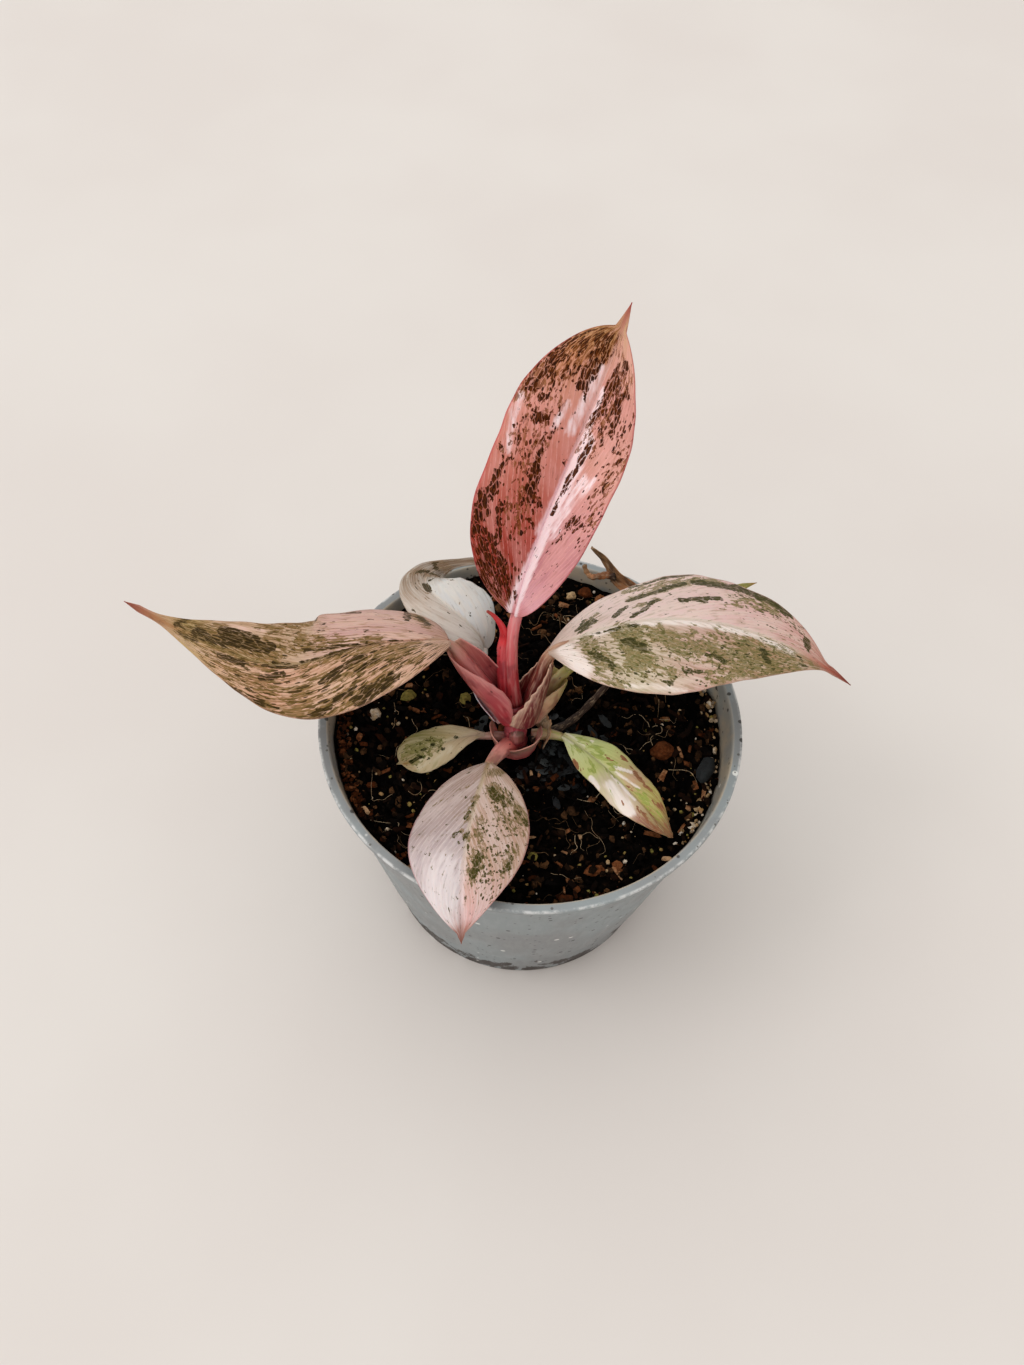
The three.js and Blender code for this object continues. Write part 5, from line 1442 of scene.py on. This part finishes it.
def soilParts():
    chance = np.random.default_rng(soil["seed"])
    pebble, roundPebble = smallShape(1), smallShape(2)
    parts = [
        soilBodyPart(),
        scatterKind(crumbs, pebble, scatterPlaces(chance, crumbs["count"]), crumbLook, chance),
        scatterKind(chips, smallShape(), scatterPlaces(chance, chips["count"], 0.35), chipLook, chance),
        scatterKind(grits, roundPebble, scatterPlaces(chance, grits["count"], 0.2, 20, 0.4),
                    gritLook, chance),
    ]
    x, y = (chance.normal(centre, litter["reach"], litter["count"]) for centre in litter["centre"])
    clear = fromStem(x, y) > 7
    parts.append(scatterKind(litter, roundPebble, onGround(x[clear], y[clear], 0.2), leafLook, chance))
    for fromTurn, toTurn, count, tints, material in wallBands:
        angle = np.radians(chance.uniform(fromTurn, toTurn, count))
        radius = potInner(soil["level"]) - 0.9 - packed["depth"] * chance.uniform(0, 1, count) ** 1.6
        x, y = radius * np.cos(angle), radius * np.sin(angle)
        places = np.stack([x, y, soilLevel(x, y) + chance.uniform(-0.4, 0.9, count)], -1)
        parts.append(scatterKind(packed | {"tints": tints}, pebble, places, material, chance))
    for material, x, y, long, wide, high, turn, tint in soilPieces:
        place = np.array([[x, y, soilLevel(x, y) + 0.35 * high]])
        drawn = np.array([[long, wide, high]]), np.array([[math.radians(turn), 0.1]]), np.array([tint])
        parts.append(scatterPart(roundPebble, place, drawn, 0.17, material, chance))
    return parts + rootParts(chance)


def rootParts(chance):
    # thin roots and fibres, each a bent thread lying over the crumbs; every second one is black
    parts = []
    for i in range(roots["count"]):
        black = i % 2 == 0
        angle = chance.uniform(0, 2 * np.pi)
        radius = roots["within"] * chance.uniform(0.15, 1) ** 0.6
        start = np.array([radius * math.cos(angle), radius * math.sin(angle)])
        if black:
            start = np.array(roots["darkCentre"]) + chance.normal(0, roots["darkReach"], 2)
        heading = chance.uniform(0, 2 * np.pi)
        knots = []
        for _ in range(chance.integers(6, 12)):
            if math.hypot(*start) > roots["within"]:
                break
            knots.append(onGround(*start, chance.uniform(0, 0.9)))
            heading += chance.normal(0, 0.7)
            start = start + chance.uniform(0.9, 2.1) * np.array([math.cos(heading), math.sin(heading)])
        if len(knots) > 3 and min(fromStem(knot[0], knot[1]) for knot in knots) > 5.5:
            thin = chance.uniform(*roots["thickness"]) * (1.8 if black else 1)
            part = tubePart(smoothPath(knots, 12), [thin, thin, 0.4 * thin], 4, 3 * len(knots))
            tint = chance.uniform(0, 0.3) if black else chance.uniform(0.45, 1)
            part["marks"]["tint"] = np.full(len(part["points"]), tint)
            part["material"] = rootLook
            parts.append(part)
    return parts


def grainMaterial(name, stops, rough, shine):
    # each small piece has its own tint, and is mottled
    material, tree, surface = newMaterial(name)
    place = bodyPlace(tree)
    mottle = cloud(place, 700, 4, 0.65)
    tint = mathNode("ADD", meshMark(tree, "tint"), (mottle - 0.5) * 0.5, clamp=True)
    damp = between(cloud(place, 1600), 0.45, 0.7, 0, 0.5)
    feedAll(surface, {
        "Base Color": blend(damp, colourStops(tint, stops), "120c08"),
        "Roughness": between(mottle, 0.3, 0.7, rough, 0.98),
        "Specular IOR Level": shine,
        "Normal": relief(mottle, 0.15, 0.8),
    })
    return material


def earthMaterial():
    material, tree, surface = newMaterial("dampSoil")
    clods = cloud(bodyPlace(tree), 320, 5, 0.7)
    feedAll(surface, {
        "Base Color": colourStops(clods, "35 010000 56 0c0806 68 261a12 80 4e3826"),
        "Roughness": between(clods, 0.3, 0.7, 0.85, 1),
        "Specular IOR Level": 0.06,
        "Normal": relief(clods, 0.8),
    })
    return material


soilLooks = [earthMaterial()] + [grainMaterial(name, *look) for name, look in grainLooks.items()]
makePiece("soilDressed", soilParts(), soilLooks, "soil", soil["sharp"])

# floor
floor = {"size": 6, "tone": "d6d1cd", "shadeTone": "d3cdc9", "roughness": 0.9}


def layFloor():
    mesh = bpy.data.meshes.new("paleFloor")
    reach = floor["size"] / 2
    corners = [(-reach, -reach, 0), (reach, -reach, 0), (reach, reach, 0), (-reach, reach, 0)]
    mesh.from_pydata(corners, [], [(0, 1, 2, 3)])
    material, tree, surface = newMaterial("paleFloor")
    base = blend(between(cloud(bodyPlace(tree), 6), 0.35, 0.65), floor["tone"], floor["shadeTone"])
    feedAll(surface, {"Base Color": base, "Roughness": floor["roughness"]})
    mesh.materials.append(material)
    link(bpy.data.objects.new("paleFloor", mesh))


layFloor()
